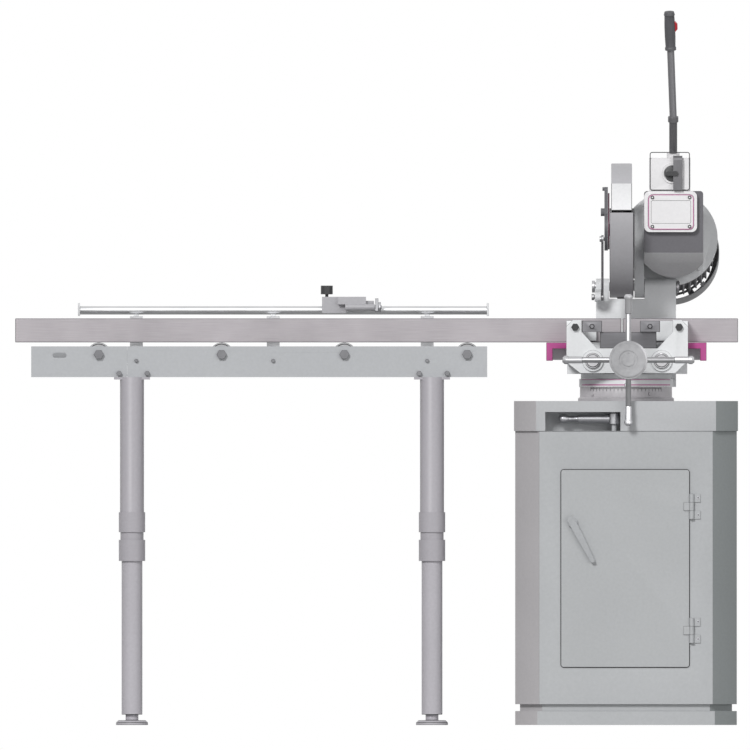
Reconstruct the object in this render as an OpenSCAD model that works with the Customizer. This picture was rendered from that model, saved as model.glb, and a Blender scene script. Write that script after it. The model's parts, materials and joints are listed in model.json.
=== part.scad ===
/* [Cabinet] */
// Width of the cabinet and its tray
cab_w = 560; // [520:10:640]
// Depth of the cabinet and its tray
cab_d = 520; // [500:10:600]
// Height of the tray's top face above the floor
cab_h = 810; // [760:10:860]
// Height of the top tray
tray_h = 75; // [65:1:90]
// Width of the facets on the front corners
facet_w = 55; // [30:1:80]
// Sheet thickness of the cabinet
sheet = 3; // [2:0.5:4]
// Height of the plinth
plinth_h = 35; // [25:1:45]
// Height of the recessed band over the plinth
band_h = 17; // [10:1:25]
// Width of the door
door_w = 320; // [280:5:340]
// Height of the door
door_h = 493; // [400:1:520]
// Height of the door's lower edge above the floor
door_z = 145; // [100:1:160]
// Length of the door handle
door_handle_len = 128; // [100:1:150]
// Diameter of the anchor holes in the plinth
anchor_d = 14; // [10:1:18]

/* [Turntable] */
// Radius of the graduated ring
ring_r = 115; // [110:1:125]
// Height of the graduated ring over the tray
ring_h = 35; // [30:1:40]
// Height of the swivelling ring
swivel_h = 20; // [16:1:24]

/* [Workpiece and vise] */
// Side of the square workpiece
bar_side = 60; // [40:1:70]
// Length of the workpiece on the feed side
bar_left = 1515; // [1400:5:1600]
// Length of the workpiece past the cut
bar_right = 288; // [200:1:350]
// Width of the cut that the blade leaves
kerf = 4; // [3:0.5:5]
// Height of the vise bed over the swivelling ring
bed_h = 75; // [70:1:80]
// Height of the bed pads under the workpiece
pad_h = 16; // [14:1:18]
// Diameter of the guide rods
rod_d = 39; // [30:1:42]
// Width of the movable jaw casting
jaw_w = 304; // [290:1:320]
// Height of the fences
fence_h = 60; // [40:1:62]
// Diameter of the clamping screw
screw_d = 24; // [20:1:28]
// Length of a handwheel spoke from the centre
spoke_len = 165; // [140:1:180]
// Diameter of the handwheel's hub
wheel_hub_d = 96; // [80:1:110]

/* [Saw head] */
// Diameter of the blade
blade_d = 315; // [300:1:320]
// Thickness of the blade
blade_t = 2.5; // [2:0.5:3]
// Number of teeth on the blade
blade_teeth = 120; // [80:4:160]
// Width of the fixed guard
guard_w = 52; // [48:1:54]
// Wall thickness of the guards
guard_t = 3; // [2:0.5:4]
// Height of the head's pivot above the floor
pivot_z = 1096; // [1090:1:1102]
// Distance of the head's pivot behind the swivel axis
pivot_y = 200; // [198:1:206]
// Diameter of the pivot shaft
pivot_d = 22; // [18:1:24]
// Distance of the spindle in front of the pivot, head up
spindle_dy = 148; // [144:1:150]
// Height of the spindle above the pivot, head up
spindle_dz = 142; // [138:1:146]
// Diameter of the spindle
spindle_d = 32; // [28:1:36]
// Radius of the spindle boss
boss_r = 58; // [50:1:60]
// Width of the gear housing
gear_w = 148; // [140:1:156]
// Radius of the motor's mounting flange
flange_r = 119; // [110:1:122]
// Radius of the motor over its fins
motor_r = 112; // [100:1:116]
// Length of the motor behind its flange
motor_len = 210; // [180:5:240]
// Radius of the fan cover
fan_r = 131; // [118:1:134]
// Angle by which the motor slopes down to the rear
motor_tilt = 10.5; // [6:0.5:14]
// Length of the lever's lower tube
lever_low = 92; // [70:1:120]
// Length of the lever's upper tube with its grip
lever_high = 274; // [220:1:300]
// Angle by which the lever leans forward
lever_lean = 14; // [5:1:20]

/* [Roller table] */
// Length of the table's main rails
rail_len = 900; // [880:10:960]
// Length of the extension at the free end
extension_len = 240; // [200:5:280]
// Height of the side rails
rail_h = 77; // [70:1:84]
// Depth of the rails' folded edges
rail_fold = 15; // [12:1:20]
// Length of a roller
roller_len = 364; // [300:2:400]
// Diameter of a roller
roller_d = 60; // [50:1:64]
// Distance between two rollers
roller_pitch = 307; // [280:1:310]
// Distance between the two pairs of legs
leg_pitch = 750; // [650:5:780]
// Diameter of a leg's upper tube
leg_d = 60; // [54:1:66]
// Diameter of a leg's lower tube
leg_low_d = 52; // [44:1:52]
// Height of the clamping collars' lower edge
collar_z = 410; // [350:5:450]
// Length of a lower leg inside its upper tube
leg_hold = 220; // [180:5:260]
// Diameter of a foot
foot_d = 80; // [70:1:100]
// Diameter of the measuring rail
scale_d = 21; // [18:1:24]
// Distance between two turns of the return spring
spring_pitch = 5.5; // [5:0.5:7]

/* [Hidden] */
$fn = 64;
gap = 0.3;
fit = 0.05;
eps = 0.01;

// Cabinet values
half_w = cab_w / 2;
half_d = cab_d / 2;
tray_z = cab_h - tray_h;
body_in = 3;
body_z = plinth_h + band_h;
door_x0 = -162;
door_t = 4;
door_y = -(half_d - body_in);
hinge_r = 6;
hinge_x = door_x0 + door_w + hinge_r + gap;
hinge_y = door_y - hinge_r;
hinge_len = 63;
hinge_zs = [door_z + 60, door_z + door_h - hinge_len - 60];
latch_x = door_x0 + 28;
latch_z = door_z + door_h - 131;
recess = [188, 68, 47];
recess_x = -202;
recess_z = tray_z + 0.5;
clamp_x = recess_x + recess[0] - 16;
clamp_y = -half_d + 34;
clamp_z = recess_z + 30;

// Turntable and vise values
ring_z = cab_h;
swivel_z = ring_z + ring_h + gap;
swivel_top = swivel_z + swivel_h;
vise_z = swivel_top + gap;
bed_z = vise_z + bed_h;
bar_z = bed_z + pad_h;
bar_half = bar_side / 2;
post_r = 34;
blade_x = -10;
rod_z = vise_z + 45;
rod_x = 86;
vise_x = 3;
screw_x = 6;
screw_z = rod_z + 2;
base_half_w = 150;
base_half_d = 95;
fence_gap = [-65, 60];
fence_w = 120;
fence_t = 12;
fence_y = bar_half + gap;
jaw_y = -bar_half - gap;
beam_y = -140;
beam_t = 38;
wheel_y = -half_d - 30;

// Saw head values
spin_y = pivot_y - spindle_dy;
spin_z = pivot_z + spindle_dz;
blade_r = blade_d / 2;
guard_r = blade_r + 8.5;
guard_x0 = blade_x - guard_w / 2 - 1;
guard_x1 = guard_x0 + guard_w;
outer_r = guard_r + 4;
outer_x0 = guard_x0 - 4;
outer_x1 = guard_x1 + 4;
ear_r = 20;
lug_r = 28;
arm_x0 = outer_x1 + 2;
arm_x1 = arm_x0 + 24;
gear_x0 = arm_x1;
gear_x1 = gear_x0 + gear_w;
gear_mid = gear_x0 + gear_w / 2;
gear_y0 = spin_y - 64;
gear_y1 = 232;
gear_top = spin_z + 97;
gear_low = spin_z - 119;
gear_wall = 8;
front_low = spin_z - 57;
motor_x = 110;
motor_z = spin_z - 18;
link_p = [140, 1070];
link_r = 24;
link_a = 255;
link_x = [guard_x0 - 25, guard_x0 - 19];
link_q = [spin_y + link_r * cos(link_a), spin_z + link_r * sin(link_a)];

// Roller table values
rail_x1 = -347;
rail_x0 = rail_x1 - rail_len;
table_x0 = rail_x0 - extension_len;
rail_z1 = bar_z - 10;
rail_z0 = rail_z1 - rail_h;
rail_y = roller_len / 2 + 5;
roller_r = roller_d / 2;
roller_z = bar_z - gap - roller_r;
roller_x0 = rail_x1 - 50;
roller_xs = [for (i = [0:3]) roller_x0 - i * roller_pitch];
leg_xs = [-485 - leg_pitch, -485];
leg_y = rail_y + 7;
leg_top = rail_z0 - 2;
collar_top = collar_z + 122;
scale_y = rail_y + 40;
scale_z = bar_z + 80;
scale_x0 = -1365;
scale_x1 = -348;
stop_x = -760;

// A solid cylinder along X, Y or Z
module rod_along_x(r, x0, x1, y, z) {
    translate([x0, y, z]) rotate([0, 90, 0]) cylinder(r = r, h = x1 - x0);
}

module rod_along_y(r, y0, y1, x, z) {
    translate([x, y1, z]) rotate([90, 0, 0]) cylinder(r = r, h = y1 - y0);
}

module rod_along_z(r, z0, z1, x, y) {
    translate([x, y, z0]) cylinder(r = r, h = z1 - z0);
}

// A block between two corners
module block(a, b) {
    translate(a) cube(b - a);
}

// An outline in X and Z, drawn out along Y
module front_shape(y0, y1) {
    translate([0, y1, 0]) rotate([90, 0, 0]) linear_extrude(y1 - y0) children();
}

// An outline in Y and Z, drawn out along X
module side_shape(x0, x1) {
    translate([x0, 0, 0]) rotate([90, 0, 90]) linear_extrude(x1 - x0) children();
}

// A rectangle with round corners between two points
module round_rect(a, b, r) {
    translate([a.x + r, a.y]) square([b.x - a.x - 2 * r, b.y - a.y]);
    translate([a.x, a.y + r]) square([b.x - a.x, b.y - a.y - 2 * r]);
    for (x = [a.x + r, b.x - r], y = [a.y + r, b.y - r])
        translate([x, y]) circle(r);
}

// A slot with round ends between two points
module slot(a, b, r) {
    d = norm(b - a);
    turn = atan2(b.y - a.y, b.x - a.x);
    translate(a) rotate(turn) {
        translate([0, -r]) square([d, 2 * r]);
        circle(r);
        translate([d, 0]) circle(r);
    }
}

// A circular sector from one angle to another
module sector(r, a0, a1) {
    steps = max(2, ceil((a1 - a0) / 30));
    far = r * 1.3;
    intersection() {
        circle(r, $fn = 128);
        polygon(concat([[0, 0]], [
            for (i = [0:steps])
                let (a = a0 + (a1 - a0) * i / steps) far * [cos(a), sin(a)]
        ]));
    }
}

// A hexagon screw head, facing along Z
module hex_head(across, height) {
    cylinder(d = across / cos(30), h = height, $fn = 6);
}

// The plan of the cabinet with its faceted front corners
module cabinet_plan(inset, facet) {
    w = half_w - inset;
    d = half_d - inset;
    polygon([
        [-w, d], [w, d], [w, -d + facet], [w - facet, -d],
        [-w + facet, -d], [-w, -d + facet]
    ]);
}

module cabinet() color([0.70, 0.71, 0.715]) {
    door_x1 = door_x0 + door_w;
    difference() {
        union() {
            linear_extrude(plinth_h) cabinet_plan(body_in, facet_w);
            translate([0, 0, plinth_h - eps])
                linear_extrude(band_h + 2 * eps) cabinet_plan(body_in + 12, facet_w);
            translate([0, 0, body_z])
                linear_extrude(tray_z - body_z) cabinet_plan(body_in, facet_w + 5);
        }
        translate([0, 0, sheet])
            linear_extrude(tray_z) cabinet_plan(body_in + 12 + sheet, facet_w);
        translate([0, 0, body_z + sheet])
            linear_extrude(tray_z) cabinet_plan(body_in + sheet, facet_w + 4);
        block([door_x0 + 12, -half_d - 5, door_z + 12],
              [door_x1 - 12, -half_d + 60, door_z + door_h - 12]);
        for (x = [-1, 1], y = [-1, 1])
            translate([x * (half_w - 60), y * (half_d - 60), -1])
                cylinder(d = anchor_d, h = sheet + 2);
        for (i = [0:5])
            translate([half_w - 40, -60 + i * 24, 560])
                cube([60, 10, 90]);
    }
    // A shelf for the coolant tank
    block([-half_w + body_in + sheet - 1, -half_d + 80, 96], [half_w - body_in - sheet + 1, half_d - 5, 99]);
}

module coolant_tank() color([0.35, 0.36, 0.38]) {
    tank = [420, 300, 130];
    difference() {
        translate([-tank.x / 2, -tank.y / 2 + 50, 99 + gap]) cube(tank);
        translate([-tank.x / 2 + sheet, -tank.y / 2 + 50 + sheet, 99 + 2 * sheet])
            cube([tank.x - 2 * sheet, tank.y - 2 * sheet, tank.z]);
    }
    translate([120, 60, 99 + 2 * sheet]) cylinder(d = 90, h = 150);
    translate([120, 60, 245]) cylinder(d = 120, h = 70);
    rod_along_z(9, 310, 345, 120, 60);
}

module cabinet_tray() color([0.72, 0.73, 0.735]) {
    difference() {
        translate([0, 0, tray_z]) linear_extrude(tray_h) cabinet_plan(0, facet_w);
        translate([0, 0, tray_z - 1])
            linear_extrude(tray_h - 24) cabinet_plan(sheet, facet_w);
        translate([0, 0, cab_h - 12]) difference() {
            linear_extrude(20) cabinet_plan(10, facet_w);
            translate([0, 0, -1]) cylinder(r = ring_r + 22, h = 30);
        }
        translate([recess_x, -half_d - 1, recess_z]) cube(recess + [0, 1, 0]);
        translate([0, 0, tray_z - 2]) cylinder(d = 40, h = tray_h + 4);
    }
    // The pin that the clamp lever turns on
    rod_along_z(6, recess_z - 1, recess_z + recess.z + 1, clamp_x, clamp_y);
    // The box behind the recess
    difference() {
        block([recess_x - sheet, -half_d + sheet / 2, tray_z],
              [recess_x + recess.x + sheet, -half_d + recess.y + sheet, tray_z + tray_h - 20]);
        translate([recess_x, -half_d - 1, recess_z]) cube(recess + [0, 1, 0]);
    }
}

module door_hinges() color([0.62, 0.63, 0.64]) {
    for (z = hinge_zs) {
        for (part = [0, 2])
            difference() {
                union() {
                    rod_along_z(hinge_r, z + part * hinge_len / 3, z + (part + 1) * hinge_len / 3 - gap,
                                hinge_x, hinge_y);
                    block([hinge_x, door_y - 3, z + part * hinge_len / 3],
                          [hinge_x + 22, door_y, z + (part + 1) * hinge_len / 3 - gap]);
                }
                rod_along_z(3, z - 1, z + hinge_len + 1, hinge_x, hinge_y);
            }
        rod_along_z(3, z, z + hinge_len, hinge_x, hinge_y);
    }
}

module door() color([0.70, 0.71, 0.715]) {
    x1 = door_x0 + door_w;
    difference() {
        union() {
            front_shape(door_y - door_t, door_y - gap)
                round_rect([door_x0, door_z], [x1, door_z + door_h], 6);
            difference() {
                block([door_x0 + 16, door_y - 1, door_z + 16],
                      [x1 - 30, door_y + 14, door_z + door_h - 16]);
                block([door_x0 + 19, door_y - 2, door_z + 19],
                      [x1 - 33, door_y + 16, door_z + door_h - 19]);
            }
            for (z = hinge_zs) {
                rod_along_z(hinge_r, z + hinge_len / 3, z + 2 * hinge_len / 3 - gap, hinge_x, hinge_y);
                block([hinge_x - 20, hinge_y - 1, z + hinge_len / 3],
                      [hinge_x, hinge_y + 2, z + 2 * hinge_len / 3 - gap]);
            }
        }
        for (z = hinge_zs)
            rod_along_z(3 + fit, z - 1, z + hinge_len + 1, hinge_x, hinge_y);
        rod_along_y(7 + fit, door_y - 20, door_y + 20, latch_x, latch_z);
    }
}

module door_handle() color([0.60, 0.61, 0.62]) {
    face = door_y - door_t;
    lean = 27.7;
    front_shape(face - 14, face - 6) translate([latch_x, latch_z]) rotate(lean) {
        slot([0, 8], [0, 12 - door_handle_len * 0.25], 9);
        polygon([
            [-9, -door_handle_len * 0.2], [9, -door_handle_len * 0.2],
            [5.5, 20 - door_handle_len], [-5.5, 20 - door_handle_len]
        ]);
        translate([0, 20 - door_handle_len]) circle(5.5);
    }
    rod_along_y(13, face - 6 - eps, face - gap, latch_x, latch_z);
    rod_along_y(7, face - 7, door_y + 10, latch_x, latch_z);
    front_shape(door_y + 10 - eps, door_y + 13) slot([latch_x, latch_z], [latch_x, latch_z - 10], 7);
}

module clamp_lever() color([0.16, 0.16, 0.17]) {
    difference() {
        rod_along_z(13, clamp_z - 13, clamp_z + 13, clamp_x, clamp_y);
        rod_along_z(6 + fit, clamp_z - 20, clamp_z + 20, clamp_x, clamp_y);
    }
    tube_x0 = clamp_x - 90;
    rod_along_x(10.5, tube_x0, clamp_x - 11, clamp_y, clamp_z);
    // The grip swells to a ball at its free end
    translate([tube_x0 + 1, clamp_y, clamp_z]) rotate([0, -90, 0]) rotate_extrude() polygon([
        [0, 0], [8, 0], [6.5, 8], [6.5, 22], [9.5, 28], [12, 34], [12, 40], [9.5, 46], [5, 49], [0, 49]
    ]);
}

module graduated_ring() color([0.78, 0.79, 0.80]) {
    difference() {
        union() {
            translate([0, 0, ring_z]) rotate_extrude($fn = 128) polygon([
                [post_r, 0], [ring_r + 5, 0], [ring_r + 5, 6], [ring_r, 10],
                [ring_r, ring_h], [post_r, ring_h]
            ]);
            // The post that carries the fixed vise through the swivelling ring
            rod_along_z(post_r, ring_z, vise_z, 0, 0);
        }
        rod_along_z(9, ring_z - 1, vise_z + 1, 0, 0);
        for (a = [-50:5:50]) rotate(a - 90)
            translate([ring_r - 1, -0.6, ring_z + ring_h - 12]) cube([5, 1.2, 13]);
    }
    for (x = [-83, 60]) {
        a = asin(x / (ring_r + 1));
        rotate(a) translate([0, -ring_r + 1, ring_z + 18]) rotate([90, 0, 0]) hex_head(9, 5);
    }
}

module vise_base() color([0.80, 0.81, 0.82]) {
    difference() {
        union() {
            // The casting under the workpiece
            block([-base_half_w + 3, -base_half_d, vise_z + 12], [base_half_w + 3, base_half_d, bed_z]);
            rod_along_z(ring_r - 2, vise_z, vise_z + 12 + eps, 0, 0);
            // The pads under the workpiece
            block([-base_half_w + 3, -base_half_d, bed_z - 1], [fence_gap[0], base_half_d - 55, bar_z - gap]);
            block([fence_gap[1], -base_half_d, bed_z - 1], [base_half_w + 3, base_half_d - 55, bar_z - gap]);
            // The webs behind the fences
            for (x = [-base_half_w + 3, -base_half_w + 35, base_half_w - 44, base_half_w - 12])
                side_shape(x, x + 15) polygon([
                    [fence_y + fence_t, bed_z - 1], [base_half_d - 17, bed_z - 1],
                    [fence_y + fence_t + 12, bar_z + fence_h - 18], [fence_y + fence_t, bar_z + fence_h - 18]
                ]);
        }
        for (x = [-rod_x, rod_x])
            rod_along_y(rod_d / 2 + fit, -base_half_d - 1, base_half_d + 1, vise_x + x, rod_z);
        rod_along_y(screw_d / 2 + fit, -base_half_d - 1, base_half_d + 1, screw_x, screw_z);
        // The pockets that make the casting lighter
        for (x = [-50, 50])
            block([vise_x + x - 22, base_half_d - 40, vise_z + 25], [vise_x + x + 22, base_half_d + 1, bed_z - 8]);
        for (y = [-70, 70])
            rod_along_z(5.5, vise_z - 1, vise_z + 20, 0, y);
    }
}

module rear_fences() color([0.66, 0.66, 0.68]) {
    for (side = [0, 1]) {
        x0 = side == 0 ? fence_gap[0] - fence_w : fence_gap[1];
        x1 = x0 + fence_w;
        slot_x = side == 0 ? x0 + 27 : x1 - 27;
        difference() {
            front_shape(fence_y, fence_y + fence_t - gap) difference() {
                round_rect([x0, bar_z], [x1, bar_z + fence_h], 4);
                slot([slot_x - 3, bar_z + fence_h - 26], [slot_x + 3, bar_z + fence_h - 26], 5);
            }
            for (x = [x0 + 40, x0 + 80])
                rod_along_y(4, fence_y - 1, fence_y + 6, x, bar_z + 18);
        }
    }
}

module side_supports() color([0.72, 0.30, 0.54]) {
    edge = base_half_w + gap;
    for (s = [-1, 1]) translate([vise_x, 0, 0]) {
        block_x = s < 0 ? [-edge - 52, -edge] : [edge, edge + 48];
        leg_in = s < 0 ? [-edge - 52, -edge - 36] : [edge + 32, edge + 48];
        front_shape(-base_half_d, base_half_d - 55) {
            translate([block_x[0], bar_z - 16]) square([block_x[1] - block_x[0], 15.5]);
            translate([leg_in[0], bar_z - 46]) square([16, 31]);
        }
    }
    // The webs that bolt to the casting
    for (s = [-1, 1]) translate([vise_x, 0, 0]) {
        w0 = s < 0 ? -edge - 37 : edge;
        block([w0, -20, bar_z - 44], [w0 + (s < 0 ? 37 : 33), 0, bar_z - 15]);
    }
}

module vise_jaw() color([0.80, 0.81, 0.82]) {
    half = jaw_w / 2;
    y1 = beam_y + beam_t;
    difference() {
        union() {
            // The front beam with its two ears
            front_shape(beam_y, y1) translate([vise_x, 0]) polygon([
                [-half, bed_z - 34], [-half, bed_z + 55], [-half + 16, bed_z + 72],
                [-half + 38, bed_z + 72], [-half + 38, bed_z + 42], [-half + 76, bed_z + 1],
                [half - 76, bed_z + 1], [half - 38, bed_z + 42], [half - 38, bed_z + 72],
                [half - 16, bed_z + 72], [half, bed_z + 55], [half, bed_z - 30],
                [half - 32, bed_z - 61], [-half + 35, bed_z - 61]
            ]);
            // The arms that reach back to the workpiece over the pads
            for (s = [-1, 1]) {
                a0 = s < 0 ? vise_x - half : vise_x + half - 38;
                block([a0, y1 - 1, bar_z + 4], [a0 + 38, jaw_y - 14, bar_z + 54]);
            }
            // The jaw plates
            for (s = [-1, 1]) {
                p0 = s < 0 ? vise_x - half : fence_gap[1] - 8;
                p1 = s < 0 ? fence_gap[0] - 9 : vise_x + half;
                block([p0, jaw_y - 16, bar_z + 4], [p1, jaw_y, bar_z + 54]);
            }
            // The round seats of the guide rods and of the screw
            for (x = [-rod_x, rod_x])
                rod_along_y(rod_d / 2 + 7, beam_y - 6, beam_y + 1, vise_x + x, rod_z);
            rod_along_y(30, beam_y - 10, beam_y + 1, screw_x, screw_z);
        }
        for (x = [-rod_x, rod_x])
            rod_along_y(rod_d / 2 + fit, beam_y - 20, y1 + 1, vise_x + x, rod_z);
        rod_along_y(screw_d / 2 + fit, beam_y - 20, y1 + 1, screw_x, screw_z);
    }
    // The bolts in the ears
    for (s = [-1, 1])
        translate([vise_x + s * (half - 22), beam_y, bed_z + 54]) rotate([90, 0, 0]) hex_head(17, 8);
}

module jaw_insert() color([0.33, 0.33, 0.35]) {
    y1 = beam_y + beam_t;
    block([blade_x - 55, beam_y + 4, bed_z + 1 + gap], [blade_x + 86, y1 - 2, bed_z + 42]);
    for (x = [blade_x - 100, blade_x + 45])
        block([x, beam_y - 6, bed_z + 42], [x + 50, beam_y + 14, bed_z + 70]);
    for (x = [blade_x - 75, blade_x + 70])
        translate([x, beam_y - 6, bed_z + 56]) rotate([90, 0, 0]) hex_head(10, 5);
}

module guide_rods() color([0.62, 0.63, 0.65]) {
    for (x = [-rod_x, rod_x]) {
        rod_along_y(rod_d / 2, beam_y - 12, base_half_d + 5, vise_x + x, rod_z);
        rod_along_y(rod_d / 2 - 4, beam_y - 15, beam_y - 12 + eps, vise_x + x, rod_z);
    }
}

module handwheel() color([0.58, 0.59, 0.61]) {
    hub_r = wheel_hub_d / 2;
    difference() {
        union() {
            rod_along_y(hub_r, wheel_y - 12, wheel_y + 12, screw_x, screw_z);
            rod_along_y(hub_r - 5.5, wheel_y - 17, wheel_y, screw_x, screw_z);
            rod_along_y(17, wheel_y, beam_y - 10 - gap, screw_x, screw_z);
        }
        rod_along_y(23.5, wheel_y - 18, wheel_y - 14, screw_x, screw_z);
        for (z = [-15, 15])
            rod_along_y(2.5, wheel_y - 18, wheel_y - 8, screw_x, screw_z + z);
    }
    rod_along_y(16, wheel_y - 16, wheel_y, screw_x, screw_z);
    rod_along_y(screw_d / 2, wheel_y, -base_half_d + 140, screw_x, screw_z);
    for (a = [0:90:270])
        translate([screw_x, wheel_y, screw_z]) rotate([0, a, 0]) translate([hub_r - 3, 0, 0])
            rotate([0, 90, 0]) cylinder(r = 7, h = spoke_len - 50 - hub_r + 3);
}

module handwheel_grips() color([0.14, 0.14, 0.15]) {
    for (a = [0:90:270])
        translate([screw_x, wheel_y, screw_z]) rotate([0, a, 0]) translate([spoke_len - 50, 0, 0])
            rotate([0, 90, 0]) rotate_extrude() polygon([
                [0, 0], [7.5, 0], [8.5, 3], [8.5, 34], [10.5, 38], [10.5, 44], [6, 50], [0, 50]
            ]);
}

module stock_bar() color([0.69, 0.67, 0.70]) {
    block([blade_x - kerf / 2 - bar_left, -bar_half, bar_z], [blade_x - kerf / 2, bar_half, bar_z + bar_side]);
}

module offcut() color([0.69, 0.67, 0.70]) {
    block([blade_x + kerf / 2, -bar_half, bar_z], [blade_x + kerf / 2 + bar_right, bar_half, bar_z + bar_side]);
}

module swivel_ring() color([0.74, 0.75, 0.76]) {
    difference() {
        union() {
            rod_along_z(ring_r + 2, swivel_z, swivel_top, 0, 0);
            // The tail under the column
            block([-75, 80, swivel_z], [125, pivot_y + 50, swivel_top]);
        }
        rod_along_z(post_r + fit, swivel_z - 1, swivel_top + 1, 0, 0);
    }
    // The pointer over the scale
    rotate(-90) translate([ring_r + 1, -3, swivel_z]) cube([6, 6, 8]);
}

module column() color([0.76, 0.77, 0.78]) {
    y0 = pivot_y - 20;
    y1 = pivot_y + 50;
    saddle_z = pivot_z - 30;
    difference() {
        union() {
            // The hollow column
            difference() {
                block([-75, y0, swivel_top], [125, y1, saddle_z]);
                block([-63, y0 + 12, swivel_top - 1], [113, y1 - 12, saddle_z - 14]);
            }
            // The two ears
            for (x = [[-75, -42], [arm_x1 + 1.5, 125]])
                side_shape(x[0], x[1]) {
                    translate([pivot_y, pivot_z]) circle(ear_r);
                    polygon([
                        [y0, saddle_z - 1], [y1 - 10, saddle_z - 1],
                        [pivot_y + ear_r, pivot_z], [pivot_y - ear_r, pivot_z]
                    ]);
                }
            // The bracket of the guard's link
            side_shape(link_x[0] - 16, link_x[0] - 1) {
                translate(link_p) circle(12);
                polygon([
                    [link_p.x - 8, link_p.y + 9], [pivot_y - 12, pivot_z - 4], [pivot_y - 4, saddle_z - 1],
                    [y0, saddle_z - 1], [link_p.x - 2, link_p.y - 11.8]
                ]);
            }
        }
        rod_along_x(pivot_d / 2 + fit, -80, 130, pivot_y, pivot_z);
        rod_along_x(5 + fit, link_x[0] - 17, link_x[0], link_p.x, link_p.y);
    }
}

module pivot_shaft() color([0.66, 0.67, 0.69]) {
    rod_along_x(pivot_d / 2, -79, 134, pivot_y, pivot_z);
    for (x = [-85, 126]) rod_along_x(15, x, x + 7, pivot_y, pivot_z);
}

// Points around a helix tube, one ring of points after another
function coil_points(r, tube, pitch, turns, steps, sides) = [
    for (i = [0:turns * steps])
        let (a = 360 * i / steps, x = pitch * i / steps)
            for (k = [0:sides - 1])
                let (b = 360 * k / sides, q = r + tube * cos(b))
                    [x + tube * sin(b), q * cos(a), q * sin(a)]
];

function coil_faces(rings, sides) = concat(
    [[for (k = [0:sides - 1]) k]],
    [for (i = [0:rings - 2], k = [0:sides - 1], half = [0, 1])
        let (n = (k + 1) % sides, a = i * sides, b = a + sides)
            half == 0 ? [a + k, b + k, b + n] : [a + k, b + n, a + n]],
    [[for (k = [sides - 1:-1:0]) (rings - 1) * sides + k]]
);

module return_spring() color([0.35, 0.35, 0.37]) {
    turns = 6;
    steps = 20;
    sides = 6;
    tube = 2;
    coil_r = pivot_d / 2 + tube + gap;
    translate([-37, pivot_y, pivot_z])
        polyhedron(coil_points(coil_r, tube, spring_pitch, turns, steps, sides),
                   coil_faces(turns * steps + 1, sides));
}

module head_arm() color([0.78, 0.79, 0.80]) {
    difference() {
        union() {
            side_shape(arm_x0, arm_x1) {
                translate([pivot_y, pivot_z]) circle(lug_r);
                translate([spin_y, spin_z]) circle(boss_r);
                polygon([
                    [spin_y - 42, spin_z - 40], [pivot_y - 20, pivot_z - 20],
                    [pivot_y + 26, pivot_z + 11], [spin_y + 41, spin_z + 41]
                ]);
            }
            // The neck that goes through the guard's side to the blade
            rod_along_x(boss_r - 14, guard_x1 - 1, arm_x0 + 1, spin_y, spin_z);
        }
        rod_along_x(pivot_d / 2 + fit, arm_x0 - 1, arm_x1 + 1, pivot_y, pivot_z);
        rod_along_x(spindle_d / 2 + fit, guard_x1 - 2, arm_x1 + 1, spin_y, spin_z);
        // The hollow between the ribs on the left side
        side_shape(arm_x0 - 1, arm_x0 + 8) polygon([
            [spin_y + 30, spin_z - 62], [pivot_y - 34, pivot_z + 12],
            [pivot_y - 8, pivot_z + 36], [spin_y + 62, spin_z - 32]
        ]);
    }
}

module fixed_guard() color([0.70, 0.71, 0.72]) {
    a0 = -10;
    a1 = 163;
    difference() {
        side_shape(guard_x0, guard_x1) translate([spin_y, spin_z]) {
            sector(guard_r, a0, a1);
            circle(boss_r - 10);
        }
        side_shape(guard_x0 + guard_t, guard_x1 - guard_t) translate([spin_y, spin_z])
            circle(guard_r - guard_t);
        rod_along_x(boss_r - 13.7, guard_x1 - guard_t - 1, guard_x1 + 1, spin_y, spin_z);
        rod_along_x(30, guard_x0 - 1, guard_x0 + guard_t + 1, spin_y, spin_z);
    }
}

module guard_plate() color([0.36, 0.36, 0.38]) {
    difference() {
        side_shape(guard_x0 - 17, guard_x0 - 8.3) translate([spin_y, spin_z]) {
            circle(boss_r - 6);
            round_rect([-33, 20], [33, 107], 8);
        }
        side_shape(guard_x0 - 18, guard_x0 - 8) translate([spin_y, spin_z]) circle(22);
        side_shape(guard_x0 - 18, guard_x0 - 13) translate([spin_y, spin_z])
            round_rect([-22, 56], [22, 98], 5);
    }
    for (z = [44, 102])
        translate([guard_x0 - 17, spin_y, spin_z + z]) rotate([0, -90, 0]) hex_head(z > 50 ? 8 : 17, z > 50 ? 5 : 9);
    rod_along_x(4.5, link_x[1] + 0.4, guard_x0 - 12, link_q.x, link_q.y);
}

module guard_strip() color([0.31, 0.08, 0.18]) {
    side_shape(guard_x0 - 8, outer_x0 - gap) translate([spin_y, spin_z]) difference() {
        union() {
            circle(boss_r - 9);
            round_rect([-28, 20], [28, 92], 6);
        }
        circle(24);
    }
}

module movable_guard() color([0.72, 0.73, 0.74]) {
    a0 = 165;
    a1 = 283;
    hub = boss_r - 4;
    difference() {
        side_shape(outer_x0, outer_x1) translate([spin_y, spin_z]) {
            sector(outer_r, a0, a1);
            circle(hub);
        }
        side_shape(guard_x0 - gap, guard_x1 + gap) translate([spin_y, spin_z]) circle(outer_r - guard_t);
        side_shape(outer_x0 - 1, outer_x1 + 1) translate([spin_y, spin_z]) circle(boss_r - 13);
    }
    // The light strip along the lower edge
    side_shape(blade_x - 12, blade_x + 16) translate([spin_y, spin_z]) difference() {
        sector(outer_r + 3, 262, 280);
        circle(outer_r - 0.5);
    }
}

module guard_link() color([0.55, 0.56, 0.58]) {
    side_shape(link_x[0], link_x[1]) {
        slot(link_p, link_q, 6);
        translate(link_p) circle(10);
        translate(link_q) circle(10);
    }
    // The head of the upper pivot's bolt, which stands clear of the guard
    rod_along_x(7, link_x[0] - 4, link_x[0] + 1, link_q.x, link_q.y);
    rod_along_x(5, link_x[0] - 20, link_x[0] + 1, link_p.x, link_p.y);
    rod_along_x(8, link_x[0] - 24, link_x[0] - 17, link_p.x, link_p.y);
}

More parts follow.
